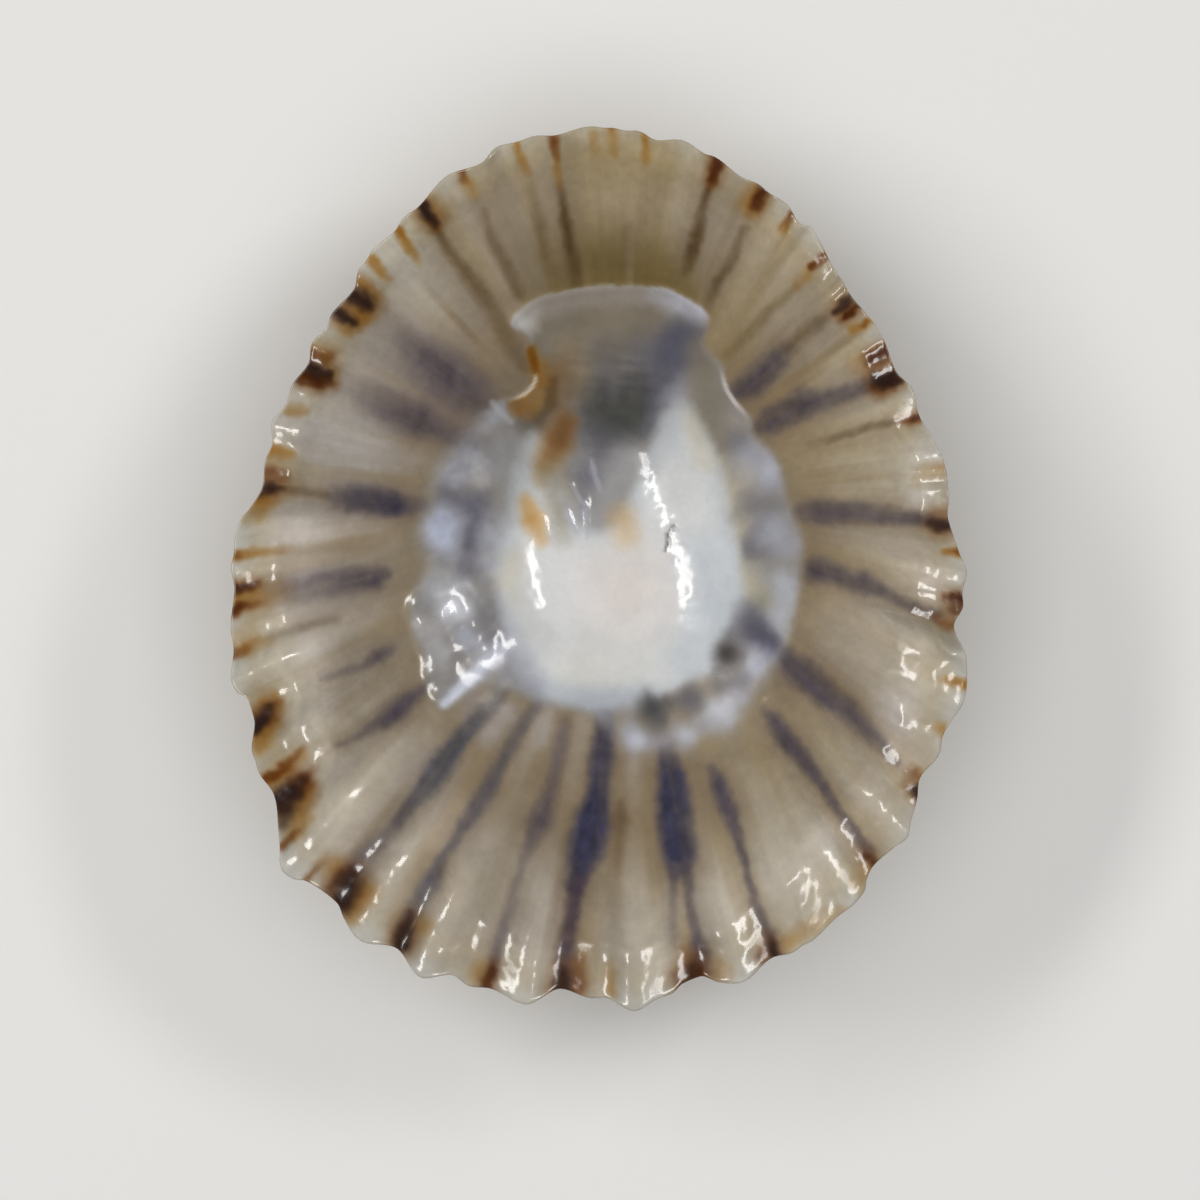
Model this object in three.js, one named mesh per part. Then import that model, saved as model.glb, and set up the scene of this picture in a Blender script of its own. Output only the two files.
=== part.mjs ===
// Limpet shell lying on its back, mouth up: one shallow oval cup with a
// scalloped rim, low radial ribs and a small worn-flat spot at the tip.
//
// Millimetres, +Z up. +Y points to the narrow head end, +X to the right seen
// from above into the mouth. The origin is under the middle of the outline,
// on the surface that the worn spot rests on.
import * as THREE from "three";
import { mergeVertices } from "three/addons/utils/BufferGeometryUtils.js";

// ---- driving dimensions -----------------------------------------------------
const RIM_HEIGHT = 9.0; // outer skin at the rim, above the resting surface
const WEAR = 0.5; // how much of the rounded tip is worn away flat
const TIP_ROUNDNESS = 0.4; // 0 is a sharp cone, 1 nearly a paraboloid
const TIP = [1.027, 2.706]; // where the ribs meet, in the head half
const FLOOR = [0.593, 1.521]; // deepest point of the cup
const RIB_OUT = 0.3; // rib height on the outside, at the rim
const RIB_IN = 0.24; // flute depth on the inside, at the rim
const RIB_SCALE = 0.22; // scallop size at which a rib is about three quarters full

// Outline about TIP: mean radius and six harmonics (cosine, sine), all in mm.
const MEAN_RADIUS = 15.497;
const HARMONICS = [
  [-1.182, -2.978], [-1.749, 0.167], [0.216, -0.296],
  [0.025, 0.023], [0.006, 0.091], [0.092, -0.027],
];

// Scallops of the rim: angle about TIP in degrees from +X, offset in mm.
// Crests are rib ends, hollows are the gaps between ribs.
const SCALLOPS = [
  [0.2, -0.11], [7.2, 0.14], [15.8, -0.07], [20.8, 0.17], [25.5, -0.08],
  [33.2, 0.13], [43.2, -0.15], [45.2, -0.11], [47.2, -0.14], [55.5, 0.16],
  [58.0, -0.06], [61.2, 0.14], [65.2, -0.01], [66.5, 0.02], [70.5, -0.15],
  [75.5, 0.03], [76.8, -0.03], [80.8, 0.15], [85.2, -0.15], [88.0, 0.07],
  [90.0, 0.01], [92.0, 0.07], [93.2, 0.06], [95.2, 0.11], [100.8, -0.13],
  [104.2, 0.02], [106.5, -0.01], [109.8, 0.1], [113.2, -0.22], [119.2, 0.1],
  [125.0, -0.11], [128.2, 0.01], [130.5, -0.07], [135.5, 0.16], [137.0, 0.11],
  [139.0, 0.15], [142.2, -0.14], [147.8, 0.08], [150.0, -0.03], [153.2, 0.16],
  [156.8, -0.12], [161.2, 0.06], [164.2, -0.07], [167.2, 0.17], [171.5, -0.21],
  [173.2, -0.16], [178.0, -0.37], [181.2, -0.09], [182.8, 0.19], [186.2, 0.29],
  [187.8, 0.24], [189.5, 0.29], [193.0, 0.05], [198.0, 0.16], [200.8, 0.05],
  [204.5, 0.25], [206.2, 0.08], [208.0, -0.39], [210.8, -0.5], [214.2, -0.11],
  [215.2, -0.16], [216.2, -0.14], [220.0, -0.44], [224.8, 0.22], [227.2, 0.72],
  [229.0, 0.48], [230.0, 0.17], [234.5, -0.21], [236.0, 0.03], [238.8, 0.32],
  [243.0, -0.26], [246.8, 0.33], [250.2, -0.24], [252.2, -0.02], [254.5, -0.15],
  [258.8, 0.24], [262.5, -0.53], [266.5, -0.16], [267.5, -0.18], [271.2, 0.47],
  [273.8, 0.11], [275.5, 0.0], [276.8, -0.3], [279.0, -0.4], [281.0, 0.05],
  [283.8, 0.38], [287.8, -0.04], [290.5, 0.19], [291.8, 0.16], [292.8, 0.21],
  [297.0, 0.06], [299.5, 0.14], [301.5, 0.07], [302.5, -0.2], [304.0, -0.34],
  [307.8, -0.08], [310.0, 0.18], [311.5, -0.02], [314.5, -0.25], [316.5, -0.47],
  [321.5, -0.02], [323.0, -0.11], [330.2, 0.47], [335.0, 0.29], [339.0, -0.36],
  [342.8, 0.01], [344.5, -0.03], [348.0, 0.2], [351.0, -0.06], [357.0, -0.31],
];

// Wall thickness measured upright, from the floor (0) to the rim (1). The last
// seventh is the bevelled lip.
const WALL = [
  [0, 1.9], [0.1, 1.72], [0.2, 1.5], [0.3, 1.42], [0.4, 1.36], [0.5, 1.27],
  [0.6, 1.2], [0.7, 1.15], [0.8, 1.1], [0.85, 1.04], [0.92, 0.74], [1, 0.32],
];

const SEGMENTS = 220; // around the rim
const OUTER_RINGS = [0.26, 0.37, 0.5, 0.64, 0.78, 0.9, 1];
const INNER_RINGS = [1, 0.93, 0.86, 0.8, 0.7, 0.55, 0.4, 0.25, 0.12, 0];

// ---- curves -----------------------------------------------------------------
const RAD = Math.PI / 180;
const clamp01 = (t) => Math.min(1, Math.max(0, t));
const ease = (a, b, t) => {
  const s = clamp01((t - a) / (b - a));
  return s * s * (3 - 2 * s);
};

// Smooth curve through [x, y] points that doesn't overshoot between them.
function monotone(points) {
  const n = points.length;
  const h = [], d = [];
  for (let i = 0; i < n - 1; i++) {
    h.push(points[i + 1][0] - points[i][0]);
    d.push((points[i + 1][1] - points[i][1]) / h[i]);
  }
  const m = points.map((_, i) => {
    if (i === 0) return d[0];
    if (i === n - 1) return d[n - 2];
    if (d[i - 1] * d[i] <= 0) return 0;
    const w1 = 2 * h[i] + h[i - 1], w2 = h[i] + 2 * h[i - 1];
    return (w1 + w2) / (w1 / d[i - 1] + w2 / d[i]);
  });
  return (x) => {
    let i = 0;
    while (i < n - 2 && x > points[i + 1][0]) i++;
    const t = (x - points[i][0]) / h[i], u = 1 - t;
    return (
      (1 + 2 * t) * u * u * points[i][1] + t * u * u * h[i] * m[i] +
      t * t * (3 - 2 * t) * points[i + 1][1] - t * t * u * h[i] * m[i + 1]
    );
  };
}

const lap = (turn) => SCALLOPS.map(([a, v]) => [a + 360 * turn, v]);
const around = monotone([...lap(-1), ...lap(0), ...lap(1)]);
const scallop = (deg) => around(((deg % 360) + 360) % 360);
const wall = monotone(WALL);

// A point of the rim, seen from above, at an angle about TIP.
function rim(deg) {
  let r = MEAN_RADIUS;
  HARMONICS.forEach(([c, s], i) => {
    r += c * Math.cos((i + 1) * deg * RAD) + s * Math.sin((i + 1) * deg * RAD);
  });
  r += scallop(deg);
  return [TIP[0] + r * Math.cos(deg * RAD), TIP[1] + r * Math.sin(deg * RAD)];
}

// Cone with a rounded tip, 0 at the tip and 1 at the rim.
const TIP_SPAN = Math.hypot(1, TIP_ROUNDNESS) - TIP_ROUNDNESS;
const dome = (t) => (Math.hypot(t, TIP_ROUNDNESS) - TIP_ROUNDNESS) / TIP_SPAN;
const skin = (t) => (RIM_HEIGHT + WEAR) * dome(t) - WEAR;
// Where the worn flat ends: the dome passes the resting surface there.
const FLAT_EDGE = Math.sqrt(
  ((WEAR / (RIM_HEIGHT + WEAR)) * TIP_SPAN + TIP_ROUNDNESS) ** 2 - TIP_ROUNDNESS ** 2,
);

// Point of the shell: rim angle, t from the floor (0) to the rim (1), and side.
function surface(deg, t, inside) {
  const [rx, ry] = rim(deg);
  const x = FLOOR[0] + t * (rx - FLOOR[0]);
  const y = FLOOR[1] + t * (ry - FLOOR[1]);
  const about = Math.atan2(y - TIP[1], x - TIP[0]) / RAD;
  const rib = Math.tanh(scallop(t > 0.05 ? about : 0) / RIB_SCALE);
  const z = inside
    ? skin(t) + wall(t) - RIB_IN * ease(0.5, 1, t) * rib
    : Math.max(0, skin(t)) - RIB_OUT * ease(0.22, 1, t) * rib;
  return [x, y, t <= FLAT_EDGE + 1e-9 && !inside ? 0 : z];
}

// ---- the solid --------------------------------------------------------------
// A lathe lays out the rings: out from the worn spot along the outside, over
// the lip and back down the inside to the floor. Each ring point then moves to
// its place on the shell.
const angles = Array.from({ length: SEGMENTS }, (_, i) => (360 * i) / SEGMENTS);
const profile = [
  ...[0, FLAT_EDGE, ...OUTER_RINGS].map((t) => ({ t, inside: false })),
  ...INNER_RINGS.map((t) => ({ t, inside: true })),
];
const lathe = new THREE.LatheGeometry(
  profile.map(({ t, inside }) => new THREE.Vector2(t, inside ? 1 : 0)),
  angles.length,
);
const position = lathe.getAttribute("position");
for (let v = 0; v < position.count; v++) {
  const turn = Math.floor(v / profile.length) % angles.length;
  const { t, inside } = profile[v % profile.length];
  position.setXYZ(v, ...surface(angles[turn], t, inside));
}
lathe.deleteAttribute("normal");
lathe.deleteAttribute("uv");
const closed = mergeVertices(lathe, 1e-4);
const kept = [];
for (let i = 0; i < closed.index.count; i += 3) {
  const [a, b, c] = [0, 1, 2].map((n) => closed.index.getX(i + n));
  if (a !== b && b !== c && c !== a) kept.push(a, b, c);
}
closed.setIndex(kept);
closed.computeVertexNormals();

const shell = new THREE.Mesh(
  closed,
  new THREE.MeshStandardMaterial({ color: 0xa8977a, roughness: 0.3, metalness: 0 }),
);
shell.name = "shell";

const limpet = new THREE.Group();
limpet.add(shell);

export default limpet;
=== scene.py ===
import math

import bpy
import numpy as np
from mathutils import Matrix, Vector


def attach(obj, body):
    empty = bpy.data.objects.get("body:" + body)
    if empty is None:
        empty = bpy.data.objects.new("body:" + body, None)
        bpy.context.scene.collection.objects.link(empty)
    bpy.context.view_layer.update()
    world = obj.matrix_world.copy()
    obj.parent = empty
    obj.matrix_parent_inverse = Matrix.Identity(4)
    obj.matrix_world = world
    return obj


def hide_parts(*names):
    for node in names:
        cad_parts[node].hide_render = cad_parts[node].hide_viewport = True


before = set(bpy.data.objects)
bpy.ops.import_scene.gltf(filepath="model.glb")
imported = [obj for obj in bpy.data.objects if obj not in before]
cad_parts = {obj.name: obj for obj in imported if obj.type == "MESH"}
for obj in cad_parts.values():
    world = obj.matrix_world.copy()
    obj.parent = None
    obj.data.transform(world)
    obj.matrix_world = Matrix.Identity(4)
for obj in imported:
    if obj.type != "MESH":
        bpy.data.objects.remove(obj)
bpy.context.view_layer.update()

# Limpet shell lying on its back. One closed mesh: the glossy inside, the thin
# fluted lip and the ribbed outside. Lengths are in millimetres until the mesh
# is made.

# ---- the shell's form, as in the construction --------------------------------
RIM_HEIGHT = 9.0
WEAR = 0.5
TIP_ROUNDNESS = 0.4
TIP = (1.027, 2.706)
FLOOR = (0.593, 1.521)
RIB_OUT = 0.3
RIB_SCALE = 0.22
MEAN_RADIUS = 15.497
HARMONICS = [
    (-1.182, -2.978), (-1.749, 0.167), (0.216, -0.296),
    (0.025, 0.023), (0.006, 0.091), (0.092, -0.027),
]
SCALLOPS = [
    (0.2, -0.11), (7.2, 0.14), (15.8, -0.07), (20.8, 0.17), (25.5, -0.08),
    (33.2, 0.13), (43.2, -0.15), (45.2, -0.11), (47.2, -0.14), (55.5, 0.16),
    (58.0, -0.06), (61.2, 0.14), (65.2, -0.01), (66.5, 0.02), (70.5, -0.15),
    (75.5, 0.03), (76.8, -0.03), (80.8, 0.15), (85.2, -0.15), (88.0, 0.07),
    (90.0, 0.01), (92.0, 0.07), (93.2, 0.06), (95.2, 0.11), (100.8, -0.13),
    (104.2, 0.02), (106.5, -0.01), (109.8, 0.1), (113.2, -0.22), (119.2, 0.1),
    (125.0, -0.11), (128.2, 0.01), (130.5, -0.07), (135.5, 0.16), (137.0, 0.11),
    (139.0, 0.15), (142.2, -0.14), (147.8, 0.08), (150.0, -0.03), (153.2, 0.16),
    (156.8, -0.12), (161.2, 0.06), (164.2, -0.07), (167.2, 0.17), (171.5, -0.21),
    (173.2, -0.16), (178.0, -0.37), (181.2, -0.09), (182.8, 0.19), (186.2, 0.29),
    (187.8, 0.24), (189.5, 0.29), (193.0, 0.05), (198.0, 0.16), (200.8, 0.05),
    (204.5, 0.25), (206.2, 0.08), (208.0, -0.39), (210.8, -0.5), (214.2, -0.11),
    (215.2, -0.16), (216.2, -0.14), (220.0, -0.44), (224.8, 0.22), (227.2, 0.72),
    (229.0, 0.48), (230.0, 0.17), (234.5, -0.21), (236.0, 0.03), (238.8, 0.32),
    (243.0, -0.26), (246.8, 0.33), (250.2, -0.24), (252.2, -0.02), (254.5, -0.15),
    (258.8, 0.24), (262.5, -0.53), (266.5, -0.16), (267.5, -0.18), (271.2, 0.47),
    (273.8, 0.11), (275.5, 0.0), (276.8, -0.3), (279.0, -0.4), (281.0, 0.05),
    (283.8, 0.38), (287.8, -0.04), (290.5, 0.19), (291.8, 0.16), (292.8, 0.21),
    (297.0, 0.06), (299.5, 0.14), (301.5, 0.07), (302.5, -0.2), (304.0, -0.34),
    (307.8, -0.08), (310.0, 0.18), (311.5, -0.02), (314.5, -0.25), (316.5, -0.47),
    (321.5, -0.02), (323.0, -0.11), (330.2, 0.47), (335.0, 0.29), (339.0, -0.36),
    (342.8, 0.01), (344.5, -0.03), (348.0, 0.2), (351.0, -0.06), (357.0, -0.31),
]
WALL = [
    (0, 1.9), (0.1, 1.74), (0.14, 1.68), (0.2, 1.68), (0.3, 1.66), (0.4, 1.6), (0.5, 1.46),
    (0.6, 1.32), (0.7, 1.2), (0.8, 1.1), (0.85, 1.06), (1, 1.0),
]
# Inside, the wall meets the flatter lip in a rounded shoulder. The further in the
# shoulder lies, the thicker the wall is there: angle about TIP, added thickness.
LIP_TOP = 9.25
LIP_SLOPE = 0.3
SHOULDER = [
    (0, 0.14), (30, 0.1), (58, -0.08), (80, -0.3), (105, -0.35), (150, -0.25), (178, 0.0), (194, 0.12), (207, 0.5), (230, 0.52),
    (258, 0.12), (275, 0.02), (298, 0.28), (320, 0.52), (343, 0.3),
]

# Mesh rings: ring j has 6 j points, so triangles are about even all over.
RINGS_IN = 152
RINGS_OUT = 92

# The view from above that the markings are drawn in: a 1200 by 1200 sheet,
# seen from CAMERA_UP millimetres above the rim.
SHEET_MM = 0.0395034
CAMERA_UP = 500.0
AIM = (0.0395, -1.2444)


# ---- small numeric helpers ---------------------------------------------------
def ease(a, b, t):
    s = np.clip((np.asarray(t, float) - a) / (b - a), 0, 1)
    return s * s * (3 - 2 * s)


def bell(x, centre, width):
    return np.exp(-(((x - centre) / width) ** 2))


class Monotone:
    """Smooth curve through (x, y) points that doesn't overshoot between them."""

    def __init__(self, points):
        p = np.array(points, float)
        self.x, self.y = p[:, 0], p[:, 1]
        self.h = np.diff(self.x)
        d = np.diff(self.y) / self.h
        m = np.zeros(len(p))
        m[0], m[-1] = d[0], d[-1]
        w1, w2 = 2 * self.h[1:] + self.h[:-1], self.h[1:] + 2 * self.h[:-1]
        same = d[:-1] * d[1:] > 0
        a, b = np.where(same, d[:-1], 1), np.where(same, d[1:], 1)
        m[1:-1] = np.where(same, (w1 + w2) / (w1 / a + w2 / b), 0)
        self.m = m

    def __call__(self, x):
        x = np.asarray(x, float)
        i = np.clip(np.searchsorted(self.x, x, side="right") - 1, 0, len(self.h) - 1)
        h = self.h[i]
        t = (x - self.x[i]) / h
        u = 1 - t
        return (
            (1 + 2 * t) * u * u * self.y[i] + t * u * u * h * self.m[i]
            + t * t * (3 - 2 * t) * self.y[i + 1] - t * t * u * h * self.m[i + 1]
        )


def lattice(ix, iy, seed):
    h = (
        ix.astype(np.uint64) * np.uint64(374761393)
        + iy.astype(np.uint64) * np.uint64(668265263)
        + np.uint64(seed * 1442695041)
    ) & np.uint64(0xFFFFFFFF)
    h = ((h ^ (h >> np.uint64(13))) * np.uint64(1274126177)) & np.uint64(0xFFFFFFFF)
    h = h ^ (h >> np.uint64(16))
    return (h & np.uint64(0xFFFFFF)).astype(float) / float(0xFFFFFF) * 2 - 1


def noise(x, y, seed, wrap=None):
    """Value noise, -1 to 1; wrap is the number of cells in x after which it repeats."""
    x, y = np.broadcast_arrays(np.asarray(x, float), np.asarray(y, float))
    fx, fy = np.floor(x), np.floor(y)
    tx, ty = x - fx, y - fy
    tx, ty = tx * tx * tx * (tx * (tx * 6 - 15) + 10), ty * ty * ty * (ty * (ty * 6 - 15) + 10)
    ix, iy = fx.astype(np.int64), fy.astype(np.int64) + 4096
    jx = ix + 1
    if wrap:
        ix, jx = ix % wrap, jx % wrap
    else:
        ix, jx = ix + 4096, jx + 4096
    a, b = lattice(ix, iy, seed), lattice(jx, iy, seed)
    c, d = lattice(ix, iy + 1, seed), lattice(jx, iy + 1, seed)
    return (a + (b - a) * tx) * (1 - ty) + (c + (d - c) * tx) * ty


def cloud(x, y, seed, octaves=3):
    total, size = 0, 0
    for o in range(octaves):
        total = total + noise(x * 2**o, y * 2**o, seed + 17 * o) / 2**o
        size += 1 / 2**o
    return total / size


def streak(about, t, cells, along, seed):
    """Noise drawn out along the rays; about is in degrees and it has no seam."""
    return noise(about / 360 * cells, t * along, seed, wrap=cells)


# ---- curves of the shell -----------------------------------------------------
scallop_curve = Monotone(
    [(a + 360 * turn, v) for turn in (-1, 0, 1) for a, v in SCALLOPS]
)
wall = Monotone(WALL)
shoulder = Monotone([(a + 360 * turn, v) for turn in (-1, 0, 1) for a, v in SHOULDER])


def scallop(deg):
    return scallop_curve(np.mod(deg, 360))


def smooth_radius(deg):
    a = np.radians(deg)
    r = np.full(np.shape(a), MEAN_RADIUS)
    for i, (c, s) in enumerate(HARMONICS, 1):
        r = r + c * np.cos(i * a) + s * np.sin(i * a)
    return r


def rim(deg, depth=1):
    r, a = smooth_radius(deg) + depth * scallop(deg), np.radians(deg)
    return TIP[0] + r * np.cos(a), TIP[1] + r * np.sin(a)


TIP_SPAN = math.hypot(1, TIP_ROUNDNESS) - TIP_ROUNDNESS


def skin(t):
    dome = (np.hypot(t, TIP_ROUNDNESS) - TIP_ROUNDNESS) / TIP_SPAN
    return (RIM_HEIGHT + WEAR) * dome - WEAR


FLAT_EDGE = math.sqrt(
    (WEAR / (RIM_HEIGHT + WEAR) * TIP_SPAN + TIP_ROUNDNESS) ** 2 - TIP_ROUNDNESS**2
)


def plan(deg, t, depth=1):
    """Place seen from above, its angle about TIP and how far it is into a rib."""
    rx, ry = rim(deg, depth)
    x, y = FLOOR[0] + t * (rx - FLOOR[0]), FLOOR[1] + t * (ry - FLOOR[1])
    about = np.degrees(np.arctan2(y - TIP[1], x - TIP[0])) % 360
    rib = np.tanh(scallop(about) / RIB_SCALE) * ease(0.03, 0.12, t)
    return x, y, about, rib


def lobes(about):
    """The ribs as they show inside: rounder, and deepest where the scallops are big."""
    near = [scallop(about + d) for d in (-2, -1, 0, 1, 2)]
    s = (near[0] + 2 * near[1] + 3 * near[2] + 2 * near[3] + near[4]) / 9
    return 0.5 * np.tanh(s / 0.2) + 1.25 * s


def on_sheet(x, y, z):
    s = CAMERA_UP / (CAMERA_UP + RIM_HEIGHT - z) / SHEET_MM
    return 600 + (x - AIM[0]) * s, 600 - (y - AIM[1]) * s


# ---- drawing on the sheet ----------------------------------------------------
def rounded(points, closed=True, steps=5):
    """The same outline with its corners drawn as smooth curves."""
    p = np.array(points, float)
    n = len(p)
    out = []
    for i in range(n if closed else n - 1):
        if closed:
            a, b, c, d = p[i - 1], p[i], p[(i + 1) % n], p[(i + 2) % n]
        else:
            a, b, c, d = p[max(i - 1, 0)], p[i], p[i + 1], p[min(i + 2, n - 1)]
        for k in range(steps):
            t = k / steps
            out.append(
                0.5 * (2 * b + (c - a) * t + (2 * a - 5 * b + 4 * c - d) * t**2
                       + (3 * b - a - 3 * c + d) * t**3)
            )
    if not closed:
        out.append(p[-1])
    return np.array(out)


def off_line(x, y, line):
    """Distance to an open line of points, and how far along it the nearest point is, 0 to 1."""
    best = np.full(x.shape, 1e9)
    where = np.zeros(x.shape)
    n = len(line) - 1
    for i in range(n):
        (x0, y0), (x1, y1) = line[i][:2], line[i + 1][:2]
        dx, dy = x1 - x0, y1 - y0
        t = np.clip(((x - x0) * dx + (y - y0) * dy) / max(dx * dx + dy * dy, 1e-9), 0, 1)
        d = np.hypot(x - x0 - t * dx, y - y0 - t * dy)
        near = d < best
        best = np.where(near, d, best)
        where = np.where(near, (i + t) / n, where)
    return best, where


def inside_of(x, y, outline):
    """Signed distance to a closed outline, positive inside."""
    p = np.vstack([outline, outline[:1]])
    d, _ = off_line(x, y, p)
    within = np.zeros(x.shape, bool)
    for (x0, y0), (x1, y1) in zip(p[:-1], p[1:]):
        cross = (y0 > y) != (y1 > y)
        at = x0 + (y - y0) * (x1 - x0) / (y1 - y0 if y1 != y0 else 1e-9)
        within ^= cross & (x < at)
    return np.where(within, d, -d)


def brush(x, y, points, soft):
    """Coverage of a stroke through (x, y, half width, strength) points."""
    mask = np.zeros(x.shape)
    reach = max(p[2] for p in points) * (1 + soft) + 2
    xs, ys = [p[0] for p in points], [p[1] for p in points]
    near = np.nonzero(
        (x > min(xs) - reach) & (x < max(xs) + reach)
        & (y > min(ys) - reach) & (y < max(ys) + reach)
    )[0]
    if not len(near):
        return mask
    u, v, m = x[near], y[near], np.zeros(len(near))
    if len(points) == 1:
        points = [points[0], (points[0][0] + 0.01,) + tuple(points[0][1:])]
    for (x0, y0, w0, o0), (x1, y1, w1, o1) in zip(points, points[1:]):
        dx, dy = x1 - x0, y1 - y0
        t = np.clip(((u - x0) * dx + (v - y0) * dy) / max(dx * dx + dy * dy, 1e-9), 0, 1)
        d = np.hypot(u - x0 - t * dx, v - y0 - t * dy)
        w, o = w0 + t * (w1 - w0), o0 + t * (o1 - o0)
        m = np.maximum(m, o * (1 - ease(0, 1, (d / w - (1 - soft)) / (2 * soft))))
    mask[near] = m
    return mask


# Colours, as 0 to 255 screen values under the scene's light.
HORN = (150, 136, 111)
GOLD = (154, 132, 92)
OLIVE = (102, 85, 48)
LILAC = (158, 149, 141)
PALE = (176, 167, 147)
LIP = (178, 176, 168)
RAY = (74, 67, 76)
BLUE_RAY = (55, 54, 73)
BROWN_RAY = (78, 59, 34)
SPOT = (46, 30, 25)
BROWN = (70, 34, 12)
RUST = (102, 56, 18)
AMBER = (148, 100, 32)
SILVER = (170, 172, 186)
GREY = (149, 148, 149)
DIM = (104, 101, 107)
WHITE = (211, 212, 212)
BLUE_WHITE = (190, 197, 204)
PINKISH = (216, 206, 200)
CREAM = (206, 195, 166)
APEX = (74, 75, 72)
APEX_BLUE = (90, 90, 104)
GREY_TAN = (126, 117, 101)
ORANGE = (196, 154, 94)
TOFFEE = (128, 90, 46)

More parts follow.
